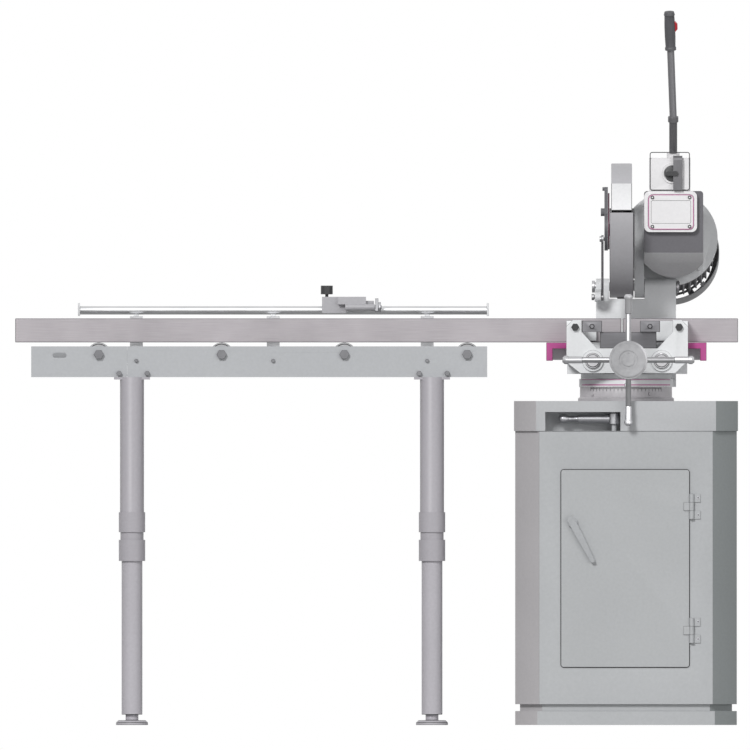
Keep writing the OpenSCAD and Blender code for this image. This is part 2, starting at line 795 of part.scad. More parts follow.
module saw_blade() color([0.60, 0.61, 0.64]) {
    tooth = 360 / blade_teeth;
    root_r = blade_r - 4;
    side_shape(blade_x - blade_t / 2, blade_x + blade_t / 2) translate([spin_y, spin_z])
        difference() {
            polygon([
                for (i = [0:blade_teeth - 1], k = [0, 1, 2])
                    let (r = [root_r, blade_r, root_r + 1][k], a = tooth * (i + [0, 0.15, 0.75][k]))
                        r * [cos(a), sin(a)]
            ]);
            circle(spindle_d / 2 + fit);
            for (a = [45:90:315]) rotate(a) translate([30, 0]) circle(5.5);
        }
}

module spindle() color([0.50, 0.51, 0.54]) {
    rod_along_x(spindle_d / 2, blade_x - 22, gear_x0 + 92, spin_y, spin_z);
    difference() {
        union() {
            rod_along_x(40, blade_x - blade_t / 2 - 9, blade_x - blade_t / 2 - gap / 3, spin_y, spin_z);
            rod_along_x(40, blade_x + blade_t / 2 + gap / 3, blade_x + blade_t / 2 + 9, spin_y, spin_z);
        }
        rod_along_x(spindle_d / 2 - 1, blade_x - 30, blade_x + 30, spin_y, spin_z);
    }
    translate([blade_x - 22, spin_y, spin_z]) rotate([0, -90, 0]) hex_head(27, 10);
    for (a = [45:90:315])
        rod_along_x(5, blade_x - 8, blade_x + 8, spin_y + 30 * cos(a), spin_z + 30 * sin(a));
}

// Worm drive values
wheel_x = motor_x;
wheel_w = 26;
wheel_teeth = 36;
wheel_pitch_r = 50;
worm_r = 13;
worm_lobe = 2.5;
worm_dist = wheel_pitch_r + worm_r + 1;
worm_len = 78;
worm_pitch = 2 * PI * wheel_pitch_r / wheel_teeth;
motor_off = (gear_y1 - spin_y) * sin(motor_tilt) + (motor_z - spin_z) * cos(motor_tilt);
gear_teeth = 18;
pinion_teeth = 22;
gear_module = 2 * (worm_dist - motor_off) / (gear_teeth + pinion_teeth);
gear_s = 62;
gear_b = 16;
neck_t = 16;
flange_t = 14;
flange_s = (gear_y1 - spin_y) * cos(motor_tilt) - (motor_z - spin_z) * sin(motor_tilt);

// Puts its children on an axis parallel to the motor's, with Z to the rear
module drive_frame(above) {
    translate([wheel_x, spin_y, spin_z]) rotate([-90 - motor_tilt, 0, 0])
        translate([0, -above, 0]) children();
}

// A toothed outline with straight flanks
module toothed(teeth, m, phase) {
    r = m * teeth / 2;
    polygon([
        for (i = [0:teeth - 1], k = [0:3])
            let (q = r + m * [-1.2, 0.85, 0.85, -1.2][k],
                 a = phase + 360 / teeth * (i + [-0.28, -0.12, 0.12, 0.28][k]))
                q * [cos(a), sin(a)]
    ]);
}

module worm_wheel() color([0.72, 0.58, 0.30]) {
    difference() {
        side_shape(wheel_x - wheel_w / 2, wheel_x + wheel_w / 2) translate([spin_y, spin_z])
            rotate(90 - motor_tilt) polygon([
                for (i = [0:wheel_teeth - 1], k = [0:3])
                    let (r = wheel_pitch_r + [-3, 2, 2, -3][k],
                         a = 360 / wheel_teeth * (i + [-0.28, -0.11, 0.11, 0.28][k]))
                        r * [cos(a), sin(a)]
            ]);
        rod_along_x(spindle_d / 2 + fit, wheel_x - wheel_w, wheel_x + wheel_w, spin_y, spin_z);
        for (a = [0:60:300])
            rod_along_x(8, wheel_x - wheel_w, wheel_x + wheel_w,
                        spin_y + 31 * cos(a), spin_z + 31 * sin(a));
    }
}

module worm_shaft() color([0.52, 0.53, 0.56]) {
    turns = worm_len / worm_pitch;
    drive_frame(worm_dist) {
        translate([0, 0, -worm_len / 2]) rotate(180 * turns - 90)
            linear_extrude(worm_len, twist = 360 * turns, slices = 90)
                translate([worm_lobe, 0]) circle(worm_r, $fn = 16);
        translate([0, 0, -worm_len / 2 - 6]) cylinder(r = 8, h = 7);
        translate([0, 0, worm_len / 2 - 1]) cylinder(r = 8, h = gear_s + gear_b + 20 - worm_len / 2);
        translate([0, 0, gear_s]) linear_extrude(gear_b) difference() {
            toothed(gear_teeth, gear_module, 90);
            circle(7.9);
        }
    }
}

module motor_rotor() color([0.50, 0.51, 0.54]) {
    drive_frame(motor_off) {
        translate([0, 0, gear_s]) linear_extrude(gear_b)
            toothed(pinion_teeth, gear_module, -90 + 180 / pinion_teeth);
        translate([0, 0, gear_s - 6]) cylinder(r = 12, h = flange_s + neck_t - gear_s + motor_len + 16);
        translate([0, 0, flange_s + neck_t + 40]) cylinder(r = motor_r * 0.5, h = motor_len - 80);
        translate([0, 0, flange_s + neck_t + motor_len + 8]) cylinder(r = motor_r * 0.22, h = 22);
        for (a = [0:45:315])
            rotate(a) translate([10, -1, flange_s + neck_t + motor_len + 8]) cube([motor_r * 0.72, 2, 22]);
    }
}

// The gear housing's outline seen from the front
module gear_front(inset) {
    x0 = gear_x0 + inset;
    x1 = gear_x1 - inset;
    round_rect([x0, gear_low + 30], [x1, gear_top - inset], 8);
    intersection() {
        translate([x0, gear_low + inset]) square([x1 - x0, 60]);
        translate([gear_mid, gear_low + gear_w * 0.62]) circle(gear_w * 0.62 - inset, $fn = 128);
    }
}

// The gear housing's outline seen from the side, square to the motor's axis at the rear
module gear_side(inset) {
    k = inset * 0.62;
    rear = function (z) gear_y1 - inset + (z - motor_z) * tan(motor_tilt);
    polygon([
        [gear_y0 + inset, front_low + k], [gear_y0 + 80 + k, gear_low + inset],
        [rear(gear_low), gear_low + inset], [rear(gear_top), gear_top - inset],
        [gear_y0 + inset, gear_top - inset]
    ]);
}

module gear_housing() color([0.42, 0.42, 0.44]) {
    seat_r = 45;
    difference() {
        intersection() {
            front_shape(gear_y0 - 10, gear_y1 + 60) gear_front(0);
            side_shape(gear_x0 - 10, gear_x1 + 10) gear_side(0);
        }
        intersection() {
            front_shape(gear_y0 - 10, gear_y1 + 60) gear_front(gear_wall);
            side_shape(gear_x0 - 10, gear_x1 + 10) gear_side(gear_wall);
        }
        rod_along_x(spindle_d / 2 + fit, gear_x0 - 1, gear_x0 + gear_wall + 1, spin_y, spin_z);
        drive_frame(motor_off) translate([0, 0, flange_s - 40]) cylinder(r = seat_r, h = 80);
    }
    // The bearing block at the spindle's right end
    difference() {
        rod_along_x(30, gear_x0 + 80, gear_x1 - gear_wall + 1, spin_y, spin_z);
        rod_along_x(spindle_d / 2 + fit, gear_x0 + 79, gear_x0 + 93, spin_y, spin_z);
    }
    // The walls that hold the worm shaft
    difference() {
        for (s = [-worm_len / 2 - 10, gear_s + gear_b + 8])
            drive_frame(worm_dist) translate([0, 0, s]) translate([-18, -40, 0]) cube([36, 60, 6]);
        drive_frame(worm_dist) translate([0, 0, -worm_len]) cylinder(r = 8 + fit, h = 3 * worm_len);
        front_shape(gear_y0 - 10, gear_y1 + 10) difference() {
            translate([gear_x0 - 50, gear_low - 50]) square([gear_w + 100, 400]);
            gear_front(gear_wall - 1);
        }
    }
}

module gear_cover() color([0.76, 0.77, 0.78]) {
    x1 = gear_x1 - 15;
    z0 = spin_z - 6;
    difference() {
        union() {
            front_shape(gear_y0 - 16, gear_y0) round_rect([gear_x0, z0], [x1, gear_top], 14);
            front_shape(gear_y0 - 18, gear_y0 - 15) round_rect([gear_x0 + 10, z0 + 6], [x1 - 8, gear_top - 8], 12);
        }
        front_shape(gear_y0 - 20, gear_y0 - 17) round_rect([gear_x0 + 18, z0 + 22], [x1 - 16, gear_top - 24], 4);
    }
    for (x = [gear_x0 + 21, x1 - 19], z = [z0 + 14, gear_top - 16])
        translate([x, gear_y0 - 18, z]) rotate([90, 0, 0]) cylinder(d = 8, h = 3);
}

module motor_flange() color([0.45, 0.45, 0.47]) {
    drive_frame(motor_off) translate([0, 0, flange_s]) difference() {
        union() {
            cylinder(r = 66, h = neck_t);
            translate([0, 0, neck_t]) cylinder(r = flange_r, h = flange_t, $fn = 128);
            for (a = [45:90:315]) rotate(a) translate([flange_r - 14, 0, neck_t - 7]) hex_head(17, 8);
        }
        translate([0, 0, -1]) cylinder(r = 14, h = neck_t + flange_t + 2);
    }
}

module motor() color([0.42, 0.42, 0.44]) {
    fins = 40;
    body_len = motor_len - flange_t;
    drive_frame(motor_off) translate([0, 0, flange_s + neck_t + flange_t]) {
        difference() {
            union() {
                cylinder(r = motor_r - 14, h = body_len, $fn = 128);
                linear_extrude(body_len - 12) for (i = [0:fins - 1])
                    rotate(360 / fins * i) translate([motor_r - 16, -1.4]) square([16, 2.8]);
                cylinder(r = motor_r - 2, h = 10, $fn = 128);
            }
            translate([0, 0, 12]) cylinder(r = motor_r * 0.5 + 8, h = body_len - 24);
            translate([0, 0, -1]) cylinder(r = 12 + gap, h = motor_len);
        }
        // The terminal box
        translate([-48, -motor_r - 14, 60]) difference() {
            cube([96, 30, 90]);
            translate([4, 4, 4]) cube([88, 9, 82]);
        }
    }
}

module fan_cover() color([0.30, 0.30, 0.32]) {
    drive_frame(motor_off) translate([0, 0, flange_s + neck_t + motor_len - 30]) difference() {
        cylinder(r = fan_r - 8, h = 74, $fn = 128);
        translate([0, 0, -1]) cylinder(r = fan_r - 10, h = 73, $fn = 128);
        for (q = [30:14:100], a = [0:60:300])
            rotate(a) translate([0, 0, 65]) linear_extrude(20) difference() {
                sector(q + 8, 4, 56);
                circle(q);
            }
    }
    // The lugs that hold the cover on the fins
    drive_frame(motor_off) translate([0, 0, flange_s + neck_t + motor_len - 28])
        for (a = [45:90:315]) rotate(a) translate([motor_r, -6, 0]) cube([fan_r - motor_r - 9, 12, 8]);
}

module switch_box() color([0.68, 0.69, 0.70]) {
    b0 = [gear_x0 + 13, gear_y0 - 12, gear_top];
    b1 = [gear_x0 + 116, gear_y0 + 72, gear_top + 83];
    difference() {
        union() {
            block(b0 + [0, 4, 0], b1);
            front_shape(b0.y, b0.y + 4 + eps) round_rect([b0.x + 2, b0.z + 2], [b1.x - 2, b1.z - 2], 5);
        }
        block(b0 + [4, 8, 4], b1 - [4, 4, 4]);
        rod_along_y(8 + fit, b0.y - 1, b0.y + 10, dial_x, dial_z);
    }
    // The raised ring round the switch
    front_shape(b0.y - 3, b0.y) translate([dial_x, dial_z]) difference() {
        circle(25);
        circle(20);
    }
    // The boss that holds the handle's lever
    lever_frame() translate([0, 0, -18]) cylinder(r = 16, h = 18);
}

// Handle values
dial_x = gear_x0 + 70;
dial_z = gear_top + 44;
lever_x = gear_x0 + 73;
lever_y = gear_y0 + 34;
lever_z = gear_top + 95;
lever_bend = 2.1;

module rotary_switch() color([0.10, 0.10, 0.11]) {
    y0 = gear_y0 - 12;
    rod_along_y(19, y0 - 8, y0 - gap, dial_x, dial_z);
    rod_along_y(8, y0 - 1, y0 + 14, dial_x, dial_z);
    front_shape(y0 - 20, y0 - 7) slot([dial_x - 10, dial_z], [dial_x + 10, dial_z], 6);
}

// Puts its children on the lever's axis, with Z up along it
module lever_frame() {
    translate([lever_x, lever_y, lever_z]) rotate([lever_lean, 0, 0]) children();
}

// Puts its children at the lower end of the grip, with Z up along it
module grip_frame() {
    lever_frame() translate([0, 0, lever_low]) rotate([0, -lever_bend, 0])
        translate([0, 0, lever_high - 100]) children();
}

module handle_lever() color([0.62, 0.63, 0.65]) {
    lever_frame() {
        cylinder(r = 10, h = lever_low - 2);
        translate([0, 0, lever_low - 12]) cylinder(r = 13, h = 14);
        translate([0, 0, lever_low]) rotate([0, -lever_bend, 0]) cylinder(r = 9, h = lever_high - 60);
    }
}

module handle_grip() color([0.12, 0.12, 0.13]) {
    grip_frame()
        difference() {
            rotate_extrude() polygon([
                [9 + fit, 0], [14, 0], [14, 6], [12.5, 8], [13.5, 34], [13.5, 62],
                [12.5, 88], [14, 90], [12, 98], [0, 100], [0, 40 + gap], [9 + fit, 40 + gap]
            ]);
            translate([5, -4.5, 44]) cube([13, 9, 32]);
        }
}

module trigger() color([0.65, 0.12, 0.12]) {
    grip_frame()
        hull() {
            translate([12, 0, 48]) rotate([90, 0, 0]) cylinder(r = 2.2, h = 8, center = true, $fn = 24);
            translate([12, 0, 72]) rotate([90, 0, 0]) cylinder(r = 2.2, h = 8, center = true, $fn = 24);
            translate([17, 0, 54]) rotate([90, 0, 0]) cylinder(r = 2.5, h = 8, center = true, $fn = 24);
            translate([17, 0, 66]) rotate([90, 0, 0]) cylinder(r = 2.5, h = 8, center = true, $fn = 24);
        }
}

// A folded side rail between two heights, open towards the rollers
module side_rail(x0, x1, side) {
    y0 = side < 0 ? -rail_y - rail_fold : rail_y;
    y1 = y0 + rail_fold;
    skin = side < 0 ? [y0, y0 + sheet] : [y1 - sheet, y1];
    difference() {
        union() {
            block([x0, skin[0], rail_z0], [x1, skin[1], rail_z1]);
            block([x0, y0, rail_z1 - sheet], [x1, y1, rail_z1]);
            block([x0, y0, rail_z0], [x1, y1, rail_z0 + sheet]);
        }
        for (x = roller_xs)
            rod_along_y(6 + fit, y0 - 1, y1 + 1, x, roller_z);
    }
}

module front_rail() color([0.70, 0.71, 0.72]) {
    side_rail(rail_x0, rail_x1, -1);
    difference() {
        side_rail(table_x0, rail_x0 - gap, -1);
        front_shape(-rail_y - rail_fold - 10, -rail_y)
            slot([table_x0 + 60, rail_z1 - 22], [table_x0 + 82, rail_z1 - 22], 6.5);
    }
    // The joint plate behind the extension
    block([rail_x0 - 60, -rail_y - rail_fold + sheet, rail_z0 + 36],
          [rail_x0 + 60, -rail_y - rail_fold + 2 * sheet, rail_z1 - 10]);
}

module rear_rail() color([0.70, 0.71, 0.72]) {
    side_rail(rail_x0, rail_x1, 1);
    side_rail(table_x0, rail_x0 - gap, 1);
    block([rail_x0 - 60, rail_y + rail_fold - 2 * sheet, rail_z0 + 36],
          [rail_x0 + 60, rail_y + rail_fold - sheet, rail_z1 - 10]);
}

module cross_beams() color([0.66, 0.67, 0.68]) {
    for (x = [leg_xs[0], leg_xs[1], (leg_xs[0] + leg_xs[1]) / 2])
        difference() {
            block([x - 20, -rail_y - rail_fold + sheet, rail_z0 + sheet],
                  [x + 20, rail_y + rail_fold - sheet, rail_z0 + 33]);
            block([x - 17, -rail_y - rail_fold, rail_z0 + sheet + 3],
                  [x + 17, rail_y + rail_fold, rail_z0 + 30]);
        }
    block([table_x0, -rail_y - rail_fold + sheet, rail_z0 + sheet],
          [table_x0 + 3, rail_y + rail_fold - sheet, rail_z1 - sheet]);
}

module table_fasteners() color([0.60, 0.61, 0.63]) {
    front_y = -rail_y - rail_fold;
    // The roller axles with their heads
    for (x = roller_xs) {
        rod_along_y(6, front_y - 1, -front_y + 1, x, roller_z);
        for (s = [-1, 1])
            translate([x, s * -front_y, roller_z]) rotate([-90 * s, 0, 0]) hex_head(22, 9);
    }
    // The small screws of the beams
    for (x = [leg_xs[0] + 11, (leg_xs[0] + leg_xs[1]) / 2 - 22, leg_xs[1] - 12])
        translate([x, front_y, rail_z1 - 36]) rotate([90, 0, 0]) hex_head(9, 5);
    // The clamp bolts over the legs
    for (x = leg_xs, s = [-32, 38])
        translate([x + s, front_y, rail_z0 + 9.5]) rotate([90, 0, 0]) hex_head(12, 9);
}

module upper_legs() color([0.72, 0.715, 0.735]) {
    for (x = leg_xs, y = [-leg_y, leg_y]) {
        difference() {
            union() {
                rod_along_z(leg_d / 2, collar_top, rail_z0, x, y);
                rod_along_z(leg_d / 2 - 1, collar_z, collar_top, x, y);
                rod_along_z(leg_d / 2 + 3, collar_z, collar_z + 53, x, y);
                rod_along_z(leg_d / 2 + 3, collar_z + 72, collar_top, x, y);
            }
            rod_along_z(leg_low_d / 2 + fit, collar_z - 1, rail_z0 - 20, x, y);
        }
        block([x - 45, y - 18, rail_z0 - 6], [x + 45, y + 18, rail_z0 - eps]);
    }
}

// One lower leg with its foot
module lower_leg(n) color([0.68, 0.675, 0.695]) {
    x = leg_xs[n % 2];
    y = n < 2 ? -leg_y : leg_y;
    translate([x, y, 0]) {
        difference() {
            rod_along_z(leg_low_d / 2, 26, collar_z + leg_hold, 0, 0);
            rod_along_z(leg_low_d / 2 - sheet, 40, collar_z + leg_hold + 2, 0, 0);
        }
        rotate_extrude() polygon([
            [0, 0], [foot_d / 2, 0], [foot_d / 2, 6], [foot_d / 2 - 6, 12], [16, 12], [16, 26], [0, 26]
        ]);
    }
}

module lower_leg_1() { lower_leg(0); }
module lower_leg_2() { lower_leg(1); }
module lower_leg_3() { lower_leg(2); }
module lower_leg_4() { lower_leg(3); }

module roller(n) color([0.62, 0.63, 0.65]) {
    difference() {
        rod_along_y(roller_r, -roller_len / 2, roller_len / 2, roller_xs[n], roller_z);
        rod_along_y(6 + fit, -roller_len, roller_len, roller_xs[n], roller_z);
        for (s = [-1, 1])
            translate([roller_xs[n], s * roller_len / 2, roller_z]) rotate([90, 0, 0])
                difference() {
                    cylinder(r = roller_r - 4, h = 8, center = true);
                    cylinder(r = 14, h = 12, center = true);
                }
    }
}

module roller_1() { roller(0); }
module roller_2() { roller(1); }
module roller_3() { roller(2); }
module roller_4() { roller(3); }

module measuring_rail() color([0.74, 0.75, 0.76]) {
    rod_along_x(scale_d / 2, scale_x0, scale_x1, scale_y, scale_z);
    for (x = [scale_x0 - 5, scale_x1])
        block([x, scale_y - 14, scale_z - 14], [x + 5, scale_y + 14, scale_z + 18]);
    // The brackets on the rear rail
    for (x = [leg_xs[0] + 11, (leg_xs[0] + leg_xs[1]) / 2 - 22, leg_xs[1] - 12]) {
        block([x - 16, rail_y + rail_fold, rail_z0 + 20], [x + 16, rail_y + rail_fold + 5, scale_z - scale_d / 2 - 4]);
        block([x - 16, rail_y + rail_fold, scale_z - scale_d / 2 - 9],
              [x + 16, scale_y + 12, scale_z - scale_d / 2 - 4]);
        block([x - 6, scale_y - 4, scale_z - scale_d / 2 - 5], [x + 6, scale_y + 4, scale_z - 5]);
    }
}

module stop_carriage() color([0.30, 0.30, 0.32]) {
    bore_r = scale_d / 2 + fit;
    difference() {
        block([stop_x, scale_y - 20, scale_z - 7], [stop_x + 62, scale_y + 20, scale_z + 34]);
        rod_along_x(bore_r, stop_x - 1, stop_x + 63, scale_y, scale_z);
        block([stop_x - 1, scale_y - 6.5, scale_z - 20], [stop_x + 63, scale_y + 6.5, scale_z]);
        rod_along_z(4 + fit, scale_z + 5, scale_z + 40, stop_x + 12, scale_y);
    }
    // The display box with its arm
    block([stop_x + 40, scale_y - 34, scale_z + 15], [stop_x + 110, scale_y - 20 + eps, scale_z + 34]);
    // The two posts with the stop's shaft seat
    difference() {
        block([stop_x + 62 - eps, scale_y - 20, scale_z + 12], [stop_x + 130, scale_y + 6, scale_z + 24]);
        rod_along_z(4, scale_z, scale_z + 40, stop_x + 120, scale_y - 7);
    }
    rod_along_x(8, stop_x + 58, stop_x + 132, scale_y - 34, scale_z + 8);
    rod_along_x(5, stop_x + 131, stop_x + 149, scale_y - 34, scale_z + 8);
}

module stop_knob() color([0.10, 0.10, 0.11]) {
    rod_along_z(4, scale_z + scale_d / 2 + gap, scale_z + 42, stop_x + 12, scale_y);
    rod_along_z(15, scale_z + 40, scale_z + 62, stop_x + 12, scale_y);
}

module stop_arm() color([0.66, 0.67, 0.69]) {
    arm_x = stop_x + 133;
    difference() {
        union() {
            rod_along_x(13, arm_x, arm_x + 14, scale_y - 34, scale_z + 8);
            block([arm_x, 20, scale_z], [arm_x + 8, scale_y - 36, scale_z + 12]);
            block([arm_x, -24, scale_z - 2], [arm_x + 8, 21, scale_z + 30]);
        }
        rod_along_x(5 + fit, arm_x - 1, arm_x + 20, scale_y - 34, scale_z + 8);
    }
}

cabinet();
cabinet_tray();
coolant_tank();
door_hinges();
door();
door_handle();
clamp_lever();
graduated_ring();
vise_base();
rear_fences();
side_supports();
vise_jaw();
jaw_insert();
guide_rods();
handwheel();
handwheel_grips();
stock_bar();
offcut();
swivel_ring();
column();
pivot_shaft();
return_spring();
head_arm();
fixed_guard();
guard_plate();
guard_strip();
movable_guard();
guard_link();
saw_blade();
spindle();
worm_wheel();
worm_shaft();
gear_housing();
gear_cover();
motor_flange();
motor();
fan_cover();
motor_rotor();
switch_box();
rotary_switch();
handle_lever();
handle_grip();
trigger();
front_rail();
rear_rail();
cross_beams();
table_fasteners();
upper_legs();
lower_leg_1();
lower_leg_2();
lower_leg_3();
lower_leg_4();
roller_1();
roller_2();
roller_3();
roller_4();
measuring_rail();
stop_carriage();
stop_knob();
stop_arm();
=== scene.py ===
import json
import math

import bmesh
import bpy
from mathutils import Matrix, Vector

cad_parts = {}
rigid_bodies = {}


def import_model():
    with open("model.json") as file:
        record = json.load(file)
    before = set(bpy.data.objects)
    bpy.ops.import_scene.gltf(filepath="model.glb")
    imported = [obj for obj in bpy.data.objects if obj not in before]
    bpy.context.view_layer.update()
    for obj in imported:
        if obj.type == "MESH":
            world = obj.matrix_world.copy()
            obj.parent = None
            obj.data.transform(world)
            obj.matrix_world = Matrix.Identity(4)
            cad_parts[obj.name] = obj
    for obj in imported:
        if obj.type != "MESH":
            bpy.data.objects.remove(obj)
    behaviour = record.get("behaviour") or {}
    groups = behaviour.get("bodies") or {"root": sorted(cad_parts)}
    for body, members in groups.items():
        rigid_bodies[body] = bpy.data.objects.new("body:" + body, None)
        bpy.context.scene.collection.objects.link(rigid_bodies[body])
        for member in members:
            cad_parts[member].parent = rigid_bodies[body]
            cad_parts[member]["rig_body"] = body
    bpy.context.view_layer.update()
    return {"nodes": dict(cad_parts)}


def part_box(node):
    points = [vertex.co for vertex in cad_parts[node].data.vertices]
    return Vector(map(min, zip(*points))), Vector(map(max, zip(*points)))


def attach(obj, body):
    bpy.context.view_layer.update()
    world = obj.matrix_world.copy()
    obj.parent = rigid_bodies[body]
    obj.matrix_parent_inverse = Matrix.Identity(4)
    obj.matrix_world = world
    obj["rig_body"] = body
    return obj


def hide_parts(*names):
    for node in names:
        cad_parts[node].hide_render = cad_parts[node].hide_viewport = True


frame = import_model()
scene = bpy.context.scene

# The view is level and square on to the front, as in an elevation drawing, so the
# camera is orthographic. It takes in the saw and its roller table with a margin.
view_width = 1.875
view_middle_x = -0.6275
view_middle_z = 0.875
view_distance = 6.0
camera_lens = bpy.data.cameras.new("front_view")
camera_lens.type = "ORTHO"
camera_lens.ortho_scale = view_width
camera_lens.clip_end = 50
camera = bpy.data.objects.new("front_view", camera_lens)
camera.location = (view_middle_x, -view_distance, view_middle_z)
camera.rotation_euler = (math.radians(90), 0, 0)
scene.collection.objects.link(camera)
scene.camera = camera
scene.view_settings.view_transform = "Standard"

# One broad lamp from the upper left lights the fronts, and a weaker one from the
# right lifts the shade behind the guard. A dim even sky fills the rest, and rays
# that see past the machine meet plain white.
window_light = bpy.data.lights.new("window_light", "SUN")
window_light.energy = 2.0
window_light.angle = math.radians(14)
window_lamp = bpy.data.objects.new("window_light", window_light)
window_lamp.rotation_euler = (math.radians(60), 0, math.radians(-20))
scene.collection.objects.link(window_lamp)
doorway_light = bpy.data.lights.new("doorway_light", "SUN")
doorway_light.energy = 0.75
doorway_light.angle = math.radians(40)
doorway_lamp = bpy.data.objects.new("doorway_light", doorway_light)
doorway_lamp.rotation_euler = (math.radians(82), 0, math.radians(32))
scene.collection.objects.link(doorway_lamp)

studio = bpy.data.worlds.new("studio")
scene.world = studio
studio.use_nodes = True
studio_nodes = studio.node_tree.nodes
studio_links = studio.node_tree.links
studio_nodes.clear()
studio_out = studio_nodes.new("ShaderNodeOutputWorld")
sky_fill = studio_nodes.new("ShaderNodeBackground")
sky_fill.inputs["Color"].default_value = (0.97, 0.98, 1.0, 1)
sky_fill.inputs["Strength"].default_value = 0.22
white_wall = studio_nodes.new("ShaderNodeBackground")
white_wall.inputs["Color"].default_value = (1, 1, 1, 1)
white_wall.inputs["Strength"].default_value = 1.0
ray_kind = studio_nodes.new("ShaderNodeLightPath")
seen_or_through = studio_nodes.new("ShaderNodeMath")
seen_or_through.operation = "MAXIMUM"
any_of_three = studio_nodes.new("ShaderNodeMath")
any_of_three.operation = "MAXIMUM"
wall_or_sky = studio_nodes.new("ShaderNodeMixShader")
studio_links.new(ray_kind.outputs["Is Camera Ray"], seen_or_through.inputs[0])
studio_links.new(ray_kind.outputs["Is Transmission Ray"], seen_or_through.inputs[1])
studio_links.new(seen_or_through.outputs[0], any_of_three.inputs[0])
studio_links.new(ray_kind.outputs["Is Glossy Ray"], any_of_three.inputs[1])
studio_links.new(any_of_three.outputs[0], wall_or_sky.inputs["Fac"])
studio_links.new(sky_fill.outputs[0], wall_or_sky.inputs[1])
studio_links.new(white_wall.outputs[0], wall_or_sky.inputs[2])
studio_links.new(wall_or_sky.outputs[0], studio_out.inputs["Surface"])

# The floor is a pale sealed screed. It lies a hair under the feet and keeps the
# machine's shadow.
floor_sheet = bpy.data.meshes.new("floor")
floor_half = 9.0
floor_z = -0.001
floor_corners = [
    (x * floor_half, y * floor_half, floor_z) for x, y in ((-1, -1), (1, -1), (1, 1), (-1, 1))
]
floor_sheet.from_pydata(floor_corners, [], [(0, 1, 2, 3)])
floor = bpy.data.objects.new("floor", floor_sheet)
scene.collection.objects.link(floor)
screed = bpy.data.materials.new("pale_screed")
screed.use_nodes = True
screed_nodes = screed.node_tree.nodes
screed_links = screed.node_tree.links
screed_shader = screed_nodes["Principled BSDF"]
screed_shader.inputs["Roughness"].default_value = 0.85
screed_place = screed_nodes.new("ShaderNodeTexCoord")
screed_cloud = screed_nodes.new("ShaderNodeTexNoise")
screed_cloud.inputs["Scale"].default_value = 3.0
screed_cloud.inputs["Detail"].default_value = 5.0
screed_tone = screed_nodes.new("ShaderNodeValToRGB")
screed_tone.color_ramp.elements[0].color = (0.74, 0.74, 0.73, 1)
screed_tone.color_ramp.elements[1].color = (0.82, 0.82, 0.81, 1)
screed_links.new(screed_place.outputs["Object"], screed_cloud.inputs["Vector"])
screed_links.new(screed_cloud.outputs["Fac"], screed_tone.inputs["Fac"])
screed_links.new(screed_tone.outputs["Color"], screed_shader.inputs["Base Color"])
floor.data.materials.append(screed)

# The cabinet is folded and welded steel sheet under a satin grey powder coat. Its
# left facet is given a warmer grey and its right facet a deeper one, as painted shade
# for the light that falls on each side. The coat has a fine orange peel, a little dust,
# and is rubbed thin along the folds.
def effect_group(name, inputs, outputs):
    """An empty shader group with its named sockets, and its two end nodes."""
    group = bpy.data.node_groups.new(name, "ShaderNodeTree")
    for label, kind, value in inputs:
        socket = group.interface.new_socket(label, in_out="INPUT", socket_type=kind)
        socket.default_value = value
    for label, kind in outputs:
        group.interface.new_socket(label, in_out="OUTPUT", socket_type=kind)
    return group, group.nodes.new("NodeGroupInput"), group.nodes.new("NodeGroupOutput")


coat_group, coat_in, coat_out = effect_group(
    "powder_coat",
    [
        ("Color", "NodeSocketColor", (0.5, 0.5, 0.5, 1)),
        ("Roughness", "NodeSocketFloat", 0.45),
        ("Peel Size", "NodeSocketFloat", 420.0),
        ("Dust", "NodeSocketFloat", 0.3),
    ],
    [
        ("Color", "NodeSocketColor"),
        ("Roughness", "NodeSocketFloat"),
        ("Height", "NodeSocketFloat"),
    ],
)
coat_nodes = coat_group.nodes
coat_links = coat_group.links
coat_place = coat_nodes.new("ShaderNodeTexCoord")
coat_cloud = coat_nodes.new("ShaderNodeTexNoise")
coat_cloud.inputs["Scale"].default_value = 4.0
coat_cloud.inputs["Detail"].default_value = 6.0
coat_peel = coat_nodes.new("ShaderNodeTexNoise")
coat_peel.inputs["Detail"].default_value = 2.0
coat_speck = coat_nodes.new("ShaderNodeTexNoise")
coat_speck.inputs["Scale"].default_value = 150.0
coat_speck.inputs["Detail"].default_value = 3.0
coat_sum = coat_nodes.new("ShaderNodeMath")
coat_sum.operation = "ADD"
coat_half = coat_nodes.new("ShaderNodeMath")
coat_half.operation = "MULTIPLY"
coat_half.inputs[1].default_value = 0.5
coat_shade = coat_nodes.new("ShaderNodeMapRange")
coat_shade.inputs["From Min"].default_value = 0.3
coat_shade.inputs["From Max"].default_value = 0.7
coat_shade.inputs["To Min"].default_value = 0.78
coat_shade.inputs["To Max"].default_value = 1.14
coat_mix = coat_nodes.new("ShaderNodeMix")
coat_mix.data_type = "RGBA"
coat_mix.blend_type = "MULTIPLY"
coat_gloss = coat_nodes.new("ShaderNodeMapRange")
coat_gloss.inputs["To Min"].default_value = -0.10
coat_gloss.inputs["To Max"].default_value = 0.14
coat_rough = coat_nodes.new("ShaderNodeMath")
coat_rough.operation = "ADD"
for texture in (coat_cloud, coat_peel, coat_speck):
    coat_links.new(coat_place.outputs["Object"], texture.inputs["Vector"])
coat_links.new(coat_in.outputs["Peel Size"], coat_peel.inputs["Scale"])
coat_links.new(coat_cloud.outputs["Fac"], coat_sum.inputs[0])
coat_links.new(coat_speck.outputs["Fac"], coat_sum.inputs[1])
coat_links.new(coat_sum.outputs[0], coat_half.inputs[0])
coat_links.new(coat_half.outputs[0], coat_shade.inputs["Value"])
coat_links.new(coat_in.outputs["Dust"], coat_mix.inputs["Factor"])
coat_links.new(coat_in.outputs["Color"], coat_mix.inputs[6])
coat_links.new(coat_shade.outputs["Result"], coat_mix.inputs[7])
coat_links.new(coat_mix.outputs[2], coat_out.inputs["Color"])
